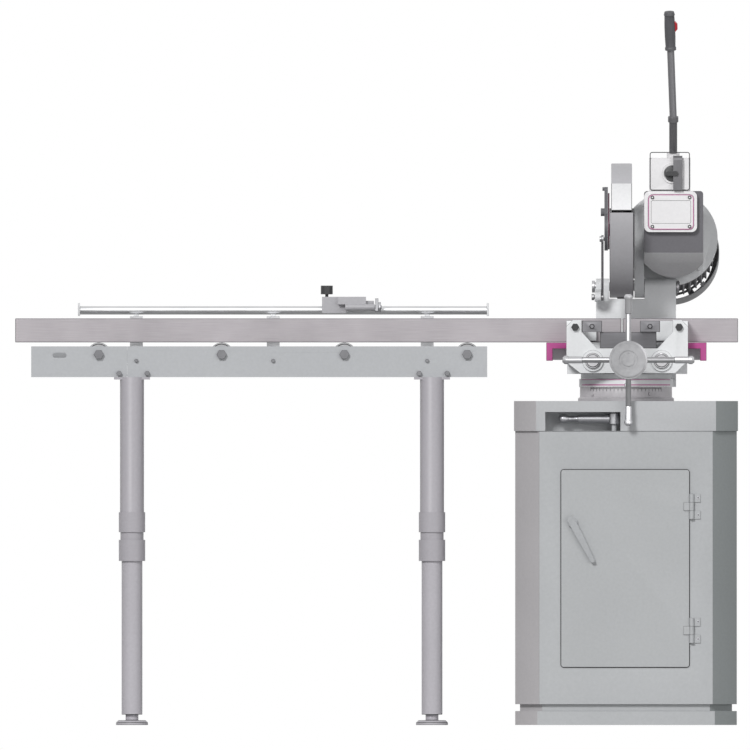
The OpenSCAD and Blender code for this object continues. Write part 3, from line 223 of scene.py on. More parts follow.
coat_links.new(coat_cloud.outputs["Fac"], coat_gloss.inputs["Value"])
coat_links.new(coat_in.outputs["Roughness"], coat_rough.inputs[0])
coat_links.new(coat_gloss.outputs["Result"], coat_rough.inputs[1])
coat_links.new(coat_rough.outputs[0], coat_out.inputs["Roughness"])
coat_links.new(coat_peel.outputs["Fac"], coat_out.inputs["Height"])


def surface(name, group, color, roughness, metallic, relief, extra):
    """A material whose colour, gloss and relief vary over the surface by a group."""
    material = bpy.data.materials.new(name)
    material.use_nodes = True
    nodes = material.node_tree.nodes
    links = material.node_tree.links
    shader = nodes["Principled BSDF"]
    shader.inputs["Metallic"].default_value = metallic
    effect = nodes.new("ShaderNodeGroup")
    effect.node_tree = group
    effect.inputs["Color"].default_value = (*color, 1)
    effect.inputs["Roughness"].default_value = roughness
    for label, value in extra.items():
        effect.inputs[label].default_value = value
    bump = nodes.new("ShaderNodeBump")
    bump.inputs["Strength"].default_value = relief
    bump.inputs["Distance"].default_value = 0.0003
    links.new(effect.outputs["Color"], shader.inputs["Base Color"])
    links.new(effect.outputs["Roughness"], shader.inputs["Roughness"])
    links.new(effect.outputs["Height"], bump.inputs["Height"])
    links.new(bump.outputs["Normal"], shader.inputs["Normal"])
    return material


def coated(name, color, roughness=0.5, dust=0.3, peel=420.0, relief=0.10):
    extra = {"Dust": dust, "Peel Size": peel}
    return surface(name, coat_group, color, roughness, 0.0, relief, extra)


def broken_edges(node, material, edge_material, width=0.0012, sharp=38, whole_faces=True):
    """Copies a CAD node, breaks its hard edges and gives them the rubbed finish."""
    source = frame["nodes"][node]
    mesh = source.data.copy()
    work = bmesh.new()
    work.from_mesh(mesh)
    bmesh.ops.remove_doubles(work, verts=work.verts, dist=0.00002)
    if whole_faces:
        bmesh.ops.dissolve_limit(
            work, angle_limit=math.radians(0.6), verts=work.verts, edges=work.edges
        )
    work.to_mesh(mesh)
    work.free()
    mesh.materials.clear()
    mesh.materials.append(material)
    mesh.materials.append(edge_material)
    piece = bpy.data.objects.new(node + "_finished", mesh)
    scene.collection.objects.link(piece)
    bevel = piece.modifiers.new("broken_edges", "BEVEL")
    bevel.width = width
    bevel.segments = 2
    bevel.limit_method = "ANGLE"
    bevel.angle_limit = math.radians(sharp)
    bevel.use_clamp_overlap = True
    bevel.material = 1
    view = bpy.context.evaluated_depsgraph_get()
    finished = bpy.data.meshes.new_from_object(piece.evaluated_get(view), depsgraph=view)
    piece.modifiers.clear()
    piece.data = finished
    finished.shade_smooth()
    finished.set_sharp_from_angle(angle=math.radians(21))
    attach(piece, source["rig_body"])
    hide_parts(node)
    return piece


def second_finish(piece, material, is_there):
    """Gives another finish to the faces of a piece whose centres pass the test."""
    piece.data.materials.append(material)
    last = len(piece.data.materials) - 1
    for face in piece.data.polygons:
        if is_there(face.center):
            face.material_index = last


cabinet_grey = coated("cabinet_grey", (0.410, 0.420, 0.430))
rubbed_coat = coated("rubbed_coat", (0.075, 0.077, 0.08), roughness=0.45, dust=0.5)
painted_shade_left_grey = coated("painted_shade_left_grey", (0.415, 0.402, 0.412))
shaded_side_grey = coated("shaded_side_grey", (0.240, 0.258, 0.260))
cabinet = broken_edges("cabinet", cabinet_grey, rubbed_coat, width=0.0021)
facet_x = 0.2185
facet_y = (-0.270, -0.190)
# Painted shade: the faces of the left facet take a warmer grey, and those of the right facet a
# deeper grey, for the light that falls on each side.
second_finish(
    cabinet, painted_shade_left_grey, lambda at: at.x < -facet_x and facet_y[0] < at.y < facet_y[1]
)
second_finish(
    cabinet, shaded_side_grey, lambda at: at.x > facet_x and facet_y[0] < at.y < facet_y[1]
)

# The door is a single folded pan. A black rubber edging runs round it and seals it
# against the cabinet's front.
def solid_piece(name, verts, faces, material):
    """A closed solid from its corners and faces, with its faces turned outwards."""
    mesh = bpy.data.meshes.new(name)
    mesh.from_pydata(verts, [], faces)
    work = bmesh.new()
    work.from_mesh(mesh)
    bmesh.ops.recalc_face_normals(work, faces=work.faces)
    work.to_mesh(mesh)
    work.free()
    mesh.materials.append(material)
    piece = bpy.data.objects.new(name, mesh)
    scene.collection.objects.link(piece)
    return piece


def flat_frame(name, low, high, wide, y_front, y_back, corner, material):
    """A flat frame of constant width round the rectangle low..high, facing the front."""
    points = {}
    for ring, grow in (("inner", 0.0), ("outer", wide)):
        radius = corner + grow
        points[ring] = []
        for cx, cz, start in (
            (high[0] - corner, high[1] - corner, 0),
            (low[0] + corner, high[1] - corner, 90),
            (low[0] + corner, low[1] + corner, 180),
            (high[0] - corner, low[1] + corner, 270),
        ):
            for step in range(7):
                turn = math.radians(start + step * 15)
                points[ring].append((cx + radius * math.cos(turn), cz + radius * math.sin(turn)))
    count = len(points["inner"])
    verts = []
    for y in (y_front, y_back):
        for ring in ("outer", "inner"):
            verts += [(x, y, z) for x, z in points[ring]]
    faces = []
    for i in range(count):
        k = (i + 1) % count
        faces.append((i, k, count + k, count + i))
        faces.append((2 * count + i, 3 * count + i, 3 * count + k, 2 * count + k))
        faces.append((i, 2 * count + i, 2 * count + k, k))
        faces.append((count + i, count + k, 3 * count + k, 3 * count + i))
    return solid_piece(name, verts, faces, material)


door_grey = coated("door_grey", (0.402, 0.412, 0.420))
door = broken_edges("door", door_grey, rubbed_coat, width=0.0019)
black_rubber = coated(
    "black_rubber", (0.035, 0.035, 0.037), roughness=0.7, dust=0.6, peel=900.0, relief=0.3
)
door_low, door_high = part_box("door")
hinge_gap = 0.0005
pan_x1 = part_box("door_hinges")[0].x - hinge_gap
seal_inset = 0.001
seal_low = (door_low.x + seal_inset, door_low.z + seal_inset)
seal_high = (pan_x1 - seal_inset, door_high.z - seal_inset)
door_seal = flat_frame(
    "door_seal", seal_low, seal_high,
    wide=0.0028, y_front=-0.2592, y_back=-0.2573, corner=0.006, material=black_rubber,
)
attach(door_seal, "door")

# The hinges are welded steel knuckles under the cabinet's paint. Each leaf is held
# by two small countersunk screws, turned in from the front.
def screw_tree(name):
    """Geometry Nodes that set one turned screw head on every point of the input."""
    tree = bpy.data.node_groups.new(name, "GeometryNodeTree")
    tree.interface.new_socket("Points", in_out="INPUT", socket_type="NodeSocketGeometry")
    for label, value in (("Head Radius", 0.004), ("Head Height", 0.003), ("Recess Share", 0.55)):
        socket = tree.interface.new_socket(label, in_out="INPUT", socket_type="NodeSocketFloat")
        socket.default_value = value
    facing = tree.interface.new_socket("Facing", in_out="INPUT", socket_type="NodeSocketVector")
    facing.default_value = (0, -1, 0)
    for label in ("Head Finish", "Recess Finish"):
        tree.interface.new_socket(label, in_out="INPUT", socket_type="NodeSocketMaterial")
    tree.interface.new_socket("Screws", in_out="OUTPUT", socket_type="NodeSocketGeometry")
    nodes = tree.nodes
    links = tree.links
    given = nodes.new("NodeGroupInput")
    made = nodes.new("NodeGroupOutput")
    head = nodes.new("GeometryNodeMeshCylinder")
    head.inputs["Vertices"].default_value = 24
    lift = nodes.new("ShaderNodeMath")
    lift.operation = "MULTIPLY"
    lift.inputs[1].default_value = 0.5
    raise_head = nodes.new("GeometryNodeTransform")
    place = nodes.new("ShaderNodeCombineXYZ")
    rim = nodes.new("GeometryNodeExtrudeMesh")
    rim.inputs["Offset Scale"].default_value = 0.0
    shrink = nodes.new("GeometryNodeScaleElements")
    sink = nodes.new("GeometryNodeExtrudeMesh")
    depth = nodes.new("ShaderNodeMath")
    depth.operation = "MULTIPLY"
    depth.inputs[1].default_value = -0.6
    head_coat = nodes.new("GeometryNodeSetMaterial")
    recess_coat = nodes.new("GeometryNodeSetMaterial")
    turn = nodes.new("FunctionNodeAlignRotationToVector")
    turn.axis = "Z"
    spread = nodes.new("GeometryNodeInstanceOnPoints")
    real = nodes.new("GeometryNodeRealizeInstances")
    links.new(given.outputs["Head Radius"], head.inputs["Radius"])
    links.new(given.outputs["Head Height"], head.inputs["Depth"])
    links.new(given.outputs["Head Height"], lift.inputs[0])
    links.new(lift.outputs[0], place.inputs["Z"])
    links.new(place.outputs[0], raise_head.inputs["Translation"])
    links.new(head.outputs["Mesh"], rim.inputs["Mesh"])
    links.new(head.outputs["Top"], rim.inputs["Selection"])
    links.new(rim.outputs["Mesh"], shrink.inputs["Geometry"])
    links.new(rim.outputs["Top"], shrink.inputs["Selection"])
    links.new(given.outputs["Recess Share"], shrink.inputs["Scale"])
    links.new(shrink.outputs["Geometry"], sink.inputs["Mesh"])
    links.new(rim.outputs["Top"], sink.inputs["Selection"])
    links.new(given.outputs["Head Height"], depth.inputs[0])
    links.new(depth.outputs[0], sink.inputs["Offset Scale"])
    links.new(sink.outputs["Mesh"], head_coat.inputs["Geometry"])
    links.new(given.outputs["Head Finish"], head_coat.inputs["Material"])
    links.new(head_coat.outputs["Geometry"], recess_coat.inputs["Geometry"])
    links.new(sink.outputs["Top"], recess_coat.inputs["Selection"])
    links.new(given.outputs["Recess Finish"], recess_coat.inputs["Material"])
    links.new(recess_coat.outputs["Geometry"], raise_head.inputs["Geometry"])
    links.new(given.outputs["Facing"], turn.inputs["Vector"])
    links.new(given.outputs["Points"], spread.inputs["Points"])
    links.new(raise_head.outputs["Geometry"], spread.inputs["Instance"])
    links.new(turn.outputs["Rotation"], spread.inputs["Rotation"])
    links.new(spread.outputs["Instances"], real.inputs["Geometry"])
    links.new(real.outputs["Geometry"], made.inputs["Screws"])
    return tree


def grown(name, start_mesh, tree, values, body):
    """Runs a Geometry Nodes tree on a start mesh and keeps the result as a plain mesh."""
    seed = bpy.data.objects.new(name, start_mesh)
    scene.collection.objects.link(seed)
    live = seed.modifiers.new("grown", "NODES")
    live.node_group = tree
    ids = {}
    for item in tree.interface.items_tree:
        if item.item_type == "SOCKET" and item.in_out == "INPUT":
            ids[item.name] = item.identifier
    for label, value in values.items():
        live[ids[label]] = value
    view = bpy.context.evaluated_depsgraph_get()
    finished = bpy.data.meshes.new_from_object(seed.evaluated_get(view), depsgraph=view)
    seed.modifiers.clear()
    seed.data = finished
    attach(seed, body)
    return seed


def screws(name, body, places, facing, radius, height, share, head_finish, recess_finish):
    """A set of equal screw heads at the given places, as one piece on one body."""
    points = bpy.data.meshes.new(name)
    points.from_pydata(places, [], [])
    values = {
        "Head Radius": radius,
        "Head Height": height,
        "Recess Share": share,
        "Facing": facing,
        "Head Finish": head_finish,
        "Recess Finish": recess_finish,
    }
    piece = grown(name, points, socket_screw, values, body)
    piece.data.shade_smooth()
    piece.data.set_sharp_from_angle(angle=math.radians(30))
    return piece


ground_group, ground_in, ground_out = effect_group(
    "worked_metal",
    [
        ("Color", "NodeSocketColor", (0.6, 0.6, 0.6, 1)),
        ("Roughness", "NodeSocketFloat", 0.35),
        ("Stretch", "NodeSocketVector", (900.0, 900.0, 20.0)),
        ("Contrast", "NodeSocketFloat", 0.4),
    ],
    [
        ("Color", "NodeSocketColor"),
        ("Roughness", "NodeSocketFloat"),
        ("Height", "NodeSocketFloat"),
    ],
)
ground_nodes = ground_group.nodes
ground_links = ground_group.links
ground_place = ground_nodes.new("ShaderNodeTexCoord")
ground_stretch = ground_nodes.new("ShaderNodeVectorMath")
ground_stretch.operation = "MULTIPLY"
ground_lines = ground_nodes.new("ShaderNodeTexNoise")
ground_lines.inputs["Scale"].default_value = 1.0
ground_lines.inputs["Detail"].default_value = 4.0
ground_stain = ground_nodes.new("ShaderNodeTexNoise")
ground_stain.inputs["Scale"].default_value = 11.0
ground_stain.inputs["Detail"].default_value = 7.0
ground_sum = ground_nodes.new("ShaderNodeMath")
ground_sum.operation = "ADD"
ground_half = ground_nodes.new("ShaderNodeMath")
ground_half.operation = "MULTIPLY"
ground_half.inputs[1].default_value = 0.5
ground_shade = ground_nodes.new("ShaderNodeMapRange")
ground_shade.inputs["From Min"].default_value = 0.3
ground_shade.inputs["From Max"].default_value = 0.7
ground_shade.inputs["To Min"].default_value = 0.62
ground_shade.inputs["To Max"].default_value = 1.15
ground_mix = ground_nodes.new("ShaderNodeMix")
ground_mix.data_type = "RGBA"
ground_mix.blend_type = "MULTIPLY"
ground_gloss = ground_nodes.new("ShaderNodeMapRange")
ground_gloss.inputs["To Min"].default_value = -0.12
ground_gloss.inputs["To Max"].default_value = 0.16
ground_rough = ground_nodes.new("ShaderNodeMath")
ground_rough.operation = "ADD"
ground_links.new(ground_place.outputs["Object"], ground_stretch.inputs[0])
ground_links.new(ground_in.outputs["Stretch"], ground_stretch.inputs[1])
ground_links.new(ground_stretch.outputs[0], ground_lines.inputs["Vector"])
ground_links.new(ground_place.outputs["Object"], ground_stain.inputs["Vector"])
ground_links.new(ground_lines.outputs["Fac"], ground_sum.inputs[0])
ground_links.new(ground_stain.outputs["Fac"], ground_sum.inputs[1])
ground_links.new(ground_sum.outputs[0], ground_half.inputs[0])
ground_links.new(ground_half.outputs[0], ground_shade.inputs["Value"])
ground_links.new(ground_in.outputs["Contrast"], ground_mix.inputs["Factor"])
ground_links.new(ground_in.outputs["Color"], ground_mix.inputs[6])
ground_links.new(ground_shade.outputs["Result"], ground_mix.inputs[7])
ground_links.new(ground_mix.outputs[2], ground_out.inputs["Color"])
ground_links.new(ground_stain.outputs["Fac"], ground_gloss.inputs["Value"])
ground_links.new(ground_in.outputs["Roughness"], ground_rough.inputs[0])
ground_links.new(ground_gloss.outputs["Result"], ground_rough.inputs[1])
ground_links.new(ground_rough.outputs[0], ground_out.inputs["Roughness"])
ground_links.new(ground_lines.outputs["Fac"], ground_out.inputs["Height"])


def worked(name, color, roughness, contrast=0.4, stretch=(60, 60, 60), metallic=1.0):
    extra = {"Contrast": contrast, "Stretch": stretch}
    return surface(name, ground_group, color, roughness, metallic, 0.10, extra)


plated_steel = worked("plated_steel", (0.50, 0.50, 0.52), roughness=0.38)
socket_dark = worked("socket_dark", (0.03, 0.03, 0.032), roughness=0.6)
socket_screw = screw_tree("socket_screws")
hinges = broken_edges("door_hinges", cabinet_grey, rubbed_coat, width=0.0008)
hinge_low, hinge_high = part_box("door_hinges")
screw_inset = 0.006
leaf_front_y = -0.2600
leaf_steps = (0.010, 0.053)
leaf_x = hinge_high.x - screw_inset
leaf_zs = [hinge_low.z + step for step in leaf_steps]
leaf_zs += [hinge_high.z - step for step in reversed(leaf_steps)]
screws(
    "hinge_screws", "stand", [(leaf_x, leaf_front_y, z) for z in leaf_zs], (0, -1, 0),
    radius=0.0035, height=0.0012, share=0.5, head_finish=plated_steel, recess_finish=socket_dark,
)

# The door handle is a zinc casting on a square spindle, painted like the cabinet
# and rubbed dark where hands turn it.
handle_grey = coated("handle_grey", (0.36, 0.37, 0.38), roughness=0.4, dust=0.6)
door_handle = broken_edges("door_handle", handle_grey, rubbed_coat, width=0.0026)

# The top tray is a welded steel pan that catches coolant. The recess in its front
# lets a hand reach the lever that locks the turntable.
tray_grey = coated("tray_grey", (0.45, 0.458, 0.47))
tray = broken_edges("cabinet_tray", tray_grey, rubbed_coat, width=0.0019, whole_faces=False)
# Painted shade, as on the cabinet: the tray's left facet takes a warmer grey and its right facet
# a deeper grey.
second_finish(
    tray, painted_shade_left_grey, lambda at: at.x < -facet_x and facet_y[0] < at.y < facet_y[1]
)
second_finish(
    tray, shaded_side_grey, lambda at: at.x > facet_x and facet_y[0] < at.y < facet_y[1]
)
lever_plated = worked("lever_plated", (0.46, 0.46, 0.48), roughness=0.36, contrast=0.5)
lever_edge = worked("lever_edge", (0.12, 0.12, 0.125), roughness=0.4, contrast=0.5)
clamp_lever = broken_edges("clamp_lever", lever_plated, lever_edge, width=0.0008, sharp=50)

# The coolant tank and its pump stand on the shelf behind the door: dark painted
# sheet, filmed with dried coolant.
tank_dark = coated("tank_dark", (0.09, 0.10, 0.105), roughness=0.5, dust=0.8)
coolant_tank = broken_edges("coolant_tank", tank_dark, rubbed_coat, width=0.0012)

# The fixed ring of the turntable is a turned casting. Its degree marks are filled
# with black, with a longer one each five degrees.
def ring_mark_tree():
    """Geometry Nodes for degree marks round the front of a ring."""
    tree = bpy.data.node_groups.new("degree_marks", "GeometryNodeTree")
    tree.interface.new_socket("Start", in_out="INPUT", socket_type="NodeSocketGeometry")
    for label in ("Radius", "Height", "Mark Width", "Short Mark", "Long Mark"):
        tree.interface.new_socket(label, in_out="INPUT", socket_type="NodeSocketFloat")
    tree.interface.new_socket("Mark Finish", in_out="INPUT", socket_type="NodeSocketMaterial")
    tree.interface.new_socket("Marks", in_out="OUTPUT", socket_type="NodeSocketGeometry")
    nodes = tree.nodes
    links = tree.links
    given = nodes.new("NodeGroupInput")
    made = nodes.new("NodeGroupOutput")
    row = nodes.new("GeometryNodeMeshLine")
    row.mode = "OFFSET"
    row.inputs["Count"].default_value = 101
    row.inputs["Offset"].default_value = (0, 0, 0)
    order = nodes.new("GeometryNodeInputIndex")
    angle = nodes.new("ShaderNodeMath")
    angle.operation = "MULTIPLY_ADD"
    angle.inputs[1].default_value = math.radians(1)
    angle.inputs[2].default_value = math.radians(-140)
    across = nodes.new("ShaderNodeMath")
    across.operation = "COSINE"
    along = nodes.new("ShaderNodeMath")
    along.operation = "SINE"
    across_r = nodes.new("ShaderNodeMath")
    across_r.operation = "MULTIPLY"
    along_r = nodes.new("ShaderNodeMath")
    along_r.operation = "MULTIPLY"
    spot = nodes.new("ShaderNodeCombineXYZ")
    shift = nodes.new("GeometryNodeSetPosition")
    facing = nodes.new("ShaderNodeCombineXYZ")
    turn = nodes.new("FunctionNodeAlignRotationToVector")
    turn.axis = "Y"
    turn.pivot_axis = "Z"
    bar = nodes.new("GeometryNodeMeshCube")
    bar_size = nodes.new("ShaderNodeCombineXYZ")
    bar_size.inputs["Y"].default_value = 0.0004
    hang = nodes.new("ShaderNodeMath")
    hang.operation = "MULTIPLY"
    hang.inputs[1].default_value = -0.5
    hang_spot = nodes.new("ShaderNodeCombineXYZ")
    hang_bar = nodes.new("GeometryNodeTransform")
    fives = nodes.new("ShaderNodeMath")
    fives.operation = "MODULO"
    fives.inputs[1].default_value = 5
    is_five = nodes.new("ShaderNodeMath")
    is_five.operation = "LESS_THAN"
    is_five.inputs[1].default_value = 0.5
    share = nodes.new("ShaderNodeMath")
    share.operation = "DIVIDE"
    length = nodes.new("ShaderNodeMix")
    length.inputs["B"].default_value = 1.0
    stretch = nodes.new("ShaderNodeCombineXYZ")
    stretch.inputs["X"].default_value = 1.0
    stretch.inputs["Y"].default_value = 1.0
    spread = nodes.new("GeometryNodeInstanceOnPoints")
    real = nodes.new("GeometryNodeRealizeInstances")
    finish = nodes.new("GeometryNodeSetMaterial")
    links.new(order.outputs[0], angle.inputs[0])
    links.new(angle.outputs[0], across.inputs[0])
    links.new(angle.outputs[0], along.inputs[0])
    links.new(across.outputs[0], across_r.inputs[0])
    links.new(along.outputs[0], along_r.inputs[0])
    links.new(given.outputs["Radius"], across_r.inputs[1])
    links.new(given.outputs["Radius"], along_r.inputs[1])
    links.new(across_r.outputs[0], spot.inputs["X"])
    links.new(along_r.outputs[0], spot.inputs["Y"])
    links.new(given.outputs["Height"], spot.inputs["Z"])
    links.new(row.outputs["Mesh"], shift.inputs["Geometry"])
    links.new(spot.outputs[0], shift.inputs["Position"])
    links.new(across.outputs[0], facing.inputs["X"])
    links.new(along.outputs[0], facing.inputs["Y"])
    links.new(facing.outputs[0], turn.inputs["Vector"])
    links.new(given.outputs["Mark Width"], bar_size.inputs["X"])
    links.new(given.outputs["Long Mark"], bar_size.inputs["Z"])
    links.new(bar_size.outputs[0], bar.inputs["Size"])
    links.new(given.outputs["Long Mark"], hang.inputs[0])
    links.new(hang.outputs[0], hang_spot.inputs["Z"])
    links.new(bar.outputs["Mesh"], hang_bar.inputs["Geometry"])
    links.new(hang_spot.outputs[0], hang_bar.inputs["Translation"])
    links.new(order.outputs[0], fives.inputs[0])
    links.new(fives.outputs[0], is_five.inputs[0])
    links.new(given.outputs["Short Mark"], share.inputs[0])
    links.new(given.outputs["Long Mark"], share.inputs[1])
    links.new(is_five.outputs[0], length.inputs["Factor"])
    links.new(share.outputs[0], length.inputs["A"])
    links.new(length.outputs["Result"], stretch.inputs["Z"])
    links.new(shift.outputs["Geometry"], spread.inputs["Points"])
    links.new(hang_bar.outputs["Geometry"], spread.inputs["Instance"])
    links.new(turn.outputs["Rotation"], spread.inputs["Rotation"])
    links.new(stretch.outputs[0], spread.inputs["Scale"])
    links.new(spread.outputs["Instances"], real.inputs["Geometry"])
    links.new(real.outputs["Geometry"], finish.inputs["Geometry"])
    links.new(given.outputs["Mark Finish"], finish.inputs["Material"])
    links.new(finish.outputs["Geometry"], made.inputs["Marks"])
    return tree


turned_grey = coated("turned_grey", (0.53, 0.51, 0.53), roughness=0.42, dust=0.5, peel=260.0)
rubbed_casting = coated("rubbed_casting", (0.16, 0.16, 0.165), roughness=0.4, dust=0.5)
graduated_ring = broken_edges("graduated_ring", turned_grey, rubbed_casting, width=0.0006)
mark_black = coated("mark_black", (0.02, 0.02, 0.02), roughness=0.6, dust=0.4)
degree_marks = grown(
    "degree_marks",
    bpy.data.meshes.new("degree_marks"),
    ring_mark_tree(),
    {
        "Radius": 0.1151,
        "Height": 0.8445,
        "Mark Width": 0.0008,
        "Short Mark": 0.005,
        "Long Mark": 0.009,
        "Mark Finish": mark_black,
    },
    "stand",
)

# The vise base is a ribbed grey-iron casting under cream-white machine enamel,
# which covers the bed and the pads on it too.
enamel_white = coated(
    "enamel_white", (0.78, 0.79, 0.80), roughness=0.4, dust=0.25, peel=260.0, relief=0.15
)
rubbed_enamel = coated("rubbed_enamel", (0.085, 0.085, 0.09), roughness=0.4, dust=0.5)
vise_base = broken_edges("vise_base", enamel_white, rubbed_enamel, width=0.0018)

# The rear fences are ground flat bars bolted upright to the webs of the base; each
# slides sideways on its slot to clear the blade at a mitre.
ground_fence = worked(
    "ground_fence", (0.76, 0.75, 0.765), roughness=0.46, contrast=0.45, stretch=(25, 900, 900)
)
fence_edge = worked("fence_edge", (0.12, 0.12, 0.125), roughness=0.5)
rear_fences = broken_edges("rear_fences", ground_fence, fence_edge, width=0.0010)

# The side supports are bent flat steel in magenta enamel. They hold up the ends of
# a short workpiece either side of the vise.
magenta_enamel = coated(
    "magenta_enamel", (0.47, 0.075, 0.27), roughness=0.35, dust=0.25, peel=300.0
)
magenta_rubbed = coated("magenta_rubbed", (0.14, 0.02, 0.07), roughness=0.4, dust=0.4)
side_supports = broken_edges("side_supports", magenta_enamel, magenta_rubbed, width=0.0010)
web_front_y = -0.0208
web_back_y = 0.0008
web_top_z = 0.9405
web_half = 0.186
vise_middle_x = 0.001
second_finish(
    side_supports, enamel_white,
    lambda at: web_front_y < at.y < web_back_y and at.z < web_top_z
    and abs(at.x - vise_middle_x) < web_half,
)

# The sliding jaw is one casting with two ears. Its insert is a hardened plate, and
# it runs on two ground rods pushed home from the front.
vise_jaw = broken_edges("vise_jaw", enamel_white, rubbed_enamel, width=0.0020)
jaw_low, jaw_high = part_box("vise_jaw")
ear_z = 0.9950
ear_inset = 0.022
ear_xs = (jaw_low.x + ear_inset, jaw_high.x - ear_inset)
bolt_face_y = -0.1402
bolt_reach = 0.012
insert_dark = worked(
    "insert_dark", (0.235, 0.232, 0.245),
    roughness=0.5, contrast=0.5, stretch=(25, 900, 900), metallic=0.6,
)
insert_edge = worked("insert_edge", (0.05, 0.05, 0.052), roughness=0.5, metallic=0.6)
jaw_insert = broken_edges("jaw_insert", insert_dark, insert_edge, width=0.0012)
ground_rod = worked(
    "ground_rod", (0.54, 0.535, 0.55), roughness=0.36, contrast=0.45, stretch=(900, 25, 900)
)
rod_edge = worked("rod_edge", (0.10, 0.10, 0.105), roughness=0.5)
guide_rods = broken_edges("guide_rods", ground_rod, rod_edge, width=0.0010)
second_finish(
    vise_jaw, insert_edge,
    lambda at: at.y < bolt_face_y and abs(at.z - ear_z) < bolt_reach
    and min(abs(at.x - ear_xs[0]), abs(at.x - ear_xs[1])) < bolt_reach,
)

# The handwheel is a turned steel hub with four spokes, screwed on the vise's
# leadscrew. Its spokes end in plated steel grips.
turned_hub = worked(
    "turned_hub", (0.36, 0.36, 0.37), roughness=0.36, contrast=0.5, stretch=(90, 20, 90)
)
hub_edge = worked("hub_edge", (0.08, 0.08, 0.085), roughness=0.5)
handwheel = broken_edges("handwheel", turned_hub, hub_edge, width=0.0010)
moulded_black = coated(
    "moulded_black", (0.035, 0.035, 0.037), roughness=0.45, dust=0.5, peel=700.0, relief=0.25
)
worn_black = coated(
    "worn_black", (0.075, 0.075, 0.078), roughness=0.35, dust=0.5, peel=700.0, relief=0.2
)
grip_steel = worked("grip_steel", (0.55, 0.55, 0.565), roughness=0.3)
handwheel_grips = broken_edges("handwheel_grips", grip_steel, hub_edge, width=0.0008, sharp=50)

# The bar in the vise is drawn square steel with a thin mill scale. The short length
# beyond the blade is the piece being cut off.
mill_scale = worked(
    "mill_scale", (0.41, 0.385, 0.402),
    roughness=0.52, contrast=0.6, stretch=(14, 900, 900), metallic=0.5,
)
scale_edge = worked("scale_edge", (0.17, 0.16, 0.17), roughness=0.5, contrast=0.5, metallic=0.6)
stock_bar = broken_edges("stock_bar", mill_scale, scale_edge, width=0.0016)
offcut = broken_edges("offcut", mill_scale, scale_edge, width=0.0016)

# The swivelling plate carries the column that holds the head's hinge. A magenta
# line is sprayed round the plate where it meets the fixed ring.
swivel_ring = broken_edges("swivel_ring", enamel_white, rubbed_enamel, width=0.0008)
column = broken_edges("column", enamel_white, rubbed_enamel, width=0.0018)
pivot_shaft = broken_edges("pivot_shaft", ground_rod, rod_edge, width=0.0010)
spring_dark = worked("spring_dark", (0.14, 0.14, 0.15), roughness=0.4, contrast=0.5)
return_spring = frame["nodes"]["return_spring"]
return_spring.data.materials.clear()
return_spring.data.materials.append(spring_dark)


def sprayed_line(name, radius, low_z, high_z, from_deg, to_deg, body, material):
    """A thin painted band on the outside of a ring, between two angles about Z."""
    steps = 96
    half_film = 0.0003
    verts = []
    for i in range(steps + 1):
        turn = math.radians(from_deg + (to_deg - from_deg) * i / steps)
        for r, z in (
            (radius + half_film, low_z),
            (radius + half_film, high_z),
            (radius - half_film, high_z),
            (radius - half_film, low_z),
        ):
            verts.append((r * math.cos(turn), r * math.sin(turn), z))
    faces = [(3, 2, 1, 0)]
    for i in range(steps):
        for k in range(4):
            n = (k + 1) % 4
            faces.append((i * 4 + k, i * 4 + n, i * 4 + 4 + n, i * 4 + 4 + k))
    faces.append(tuple(steps * 4 + k for k in range(4)))
    piece = solid_piece(name, verts, faces, material)
    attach(piece, body)
    return piece


plate_r = 0.117
for label, low_z, high_z in (("lower_line", 0.8490, 0.8515), ("upper_line", 0.8625, 0.8640)):
    sprayed_line(label, plate_r, low_z, high_z, 200, 340, "turntable", magenta_enamel)

# The head's arm is a casting from the hinge to the gearbox; it is drilled for the
# spindle and painted with the machine's enamel.
head_arm = broken_edges("head_arm", enamel_white, rubbed_enamel, width=0.0018)

# The fixed guard covers the top of the blade, and the moving guard turns round it.
# Both are pressed sheet in a cool grey enamel.
guard_white = coated("guard_white", (0.80, 0.80, 0.81), roughness=0.38, dust=0.3)
guard_grey = coated("guard_grey", (0.50, 0.495, 0.515), roughness=0.38, dust=0.3)
fixed_guard = broken_edges("fixed_guard", guard_white, rubbed_enamel, width=0.0016)
block_low_z = 1.3555
second_finish(fixed_guard, guard_grey, lambda at: at.z > block_low_z)
moving_grey = coated("moving_grey", (0.330, 0.324, 0.340), roughness=0.40, dust=0.3)
movable_guard = broken_edges("movable_guard", moving_grey, rubbed_enamel, width=0.0014)
plate_dark = coated("plate_dark", (0.13, 0.13, 0.14), roughness=0.45, dust=0.4)
guard_plate = broken_edges("guard_plate", plate_dark, rubbed_casting, width=0.0008)
maroon_enamel = coated("maroon_enamel", (0.12, 0.012, 0.045), roughness=0.35, dust=0.3)
guard_strip = broken_edges("guard_strip", maroon_enamel, magenta_rubbed, width=0.0008)
link_steel = worked("link_steel", (0.42, 0.42, 0.43), roughness=0.38)
guard_link = broken_edges("guard_link", link_steel, rod_edge, width=0.0006)

# The blade is ground tool steel with fine circular grinding marks about its bore;
# the spindle and its clamping flange are turned.
blade_ground = bpy.data.materials.new("blade_ground")
blade_ground.use_nodes = True
blade_nodes = blade_ground.node_tree.nodes
blade_links = blade_ground.node_tree.links
blade_shader = blade_nodes["Principled BSDF"]
blade_shader.inputs["Metallic"].default_value = 1.0
spindle_low, spindle_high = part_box("spindle")
blade_centre = (
    (spindle_low.x + spindle_high.x) / 2,
    (spindle_low.y + spindle_high.y) / 2,
    (spindle_low.z + spindle_high.z) / 2,
)
blade_place = blade_nodes.new("ShaderNodeTexCoord")
blade_centred = blade_nodes.new("ShaderNodeMapping")
blade_centred.inputs["Location"].default_value = tuple(-c for c in blade_centre)
blade_rings = blade_nodes.new("ShaderNodeTexWave")
blade_rings.wave_type = "RINGS"
blade_rings.rings_direction = "X"
blade_rings.inputs["Scale"].default_value = 130.0
blade_rings.inputs["Distortion"].default_value = 2.5
blade_rings.inputs["Detail"].default_value = 4.0
blade_tone = blade_nodes.new("ShaderNodeMapRange")
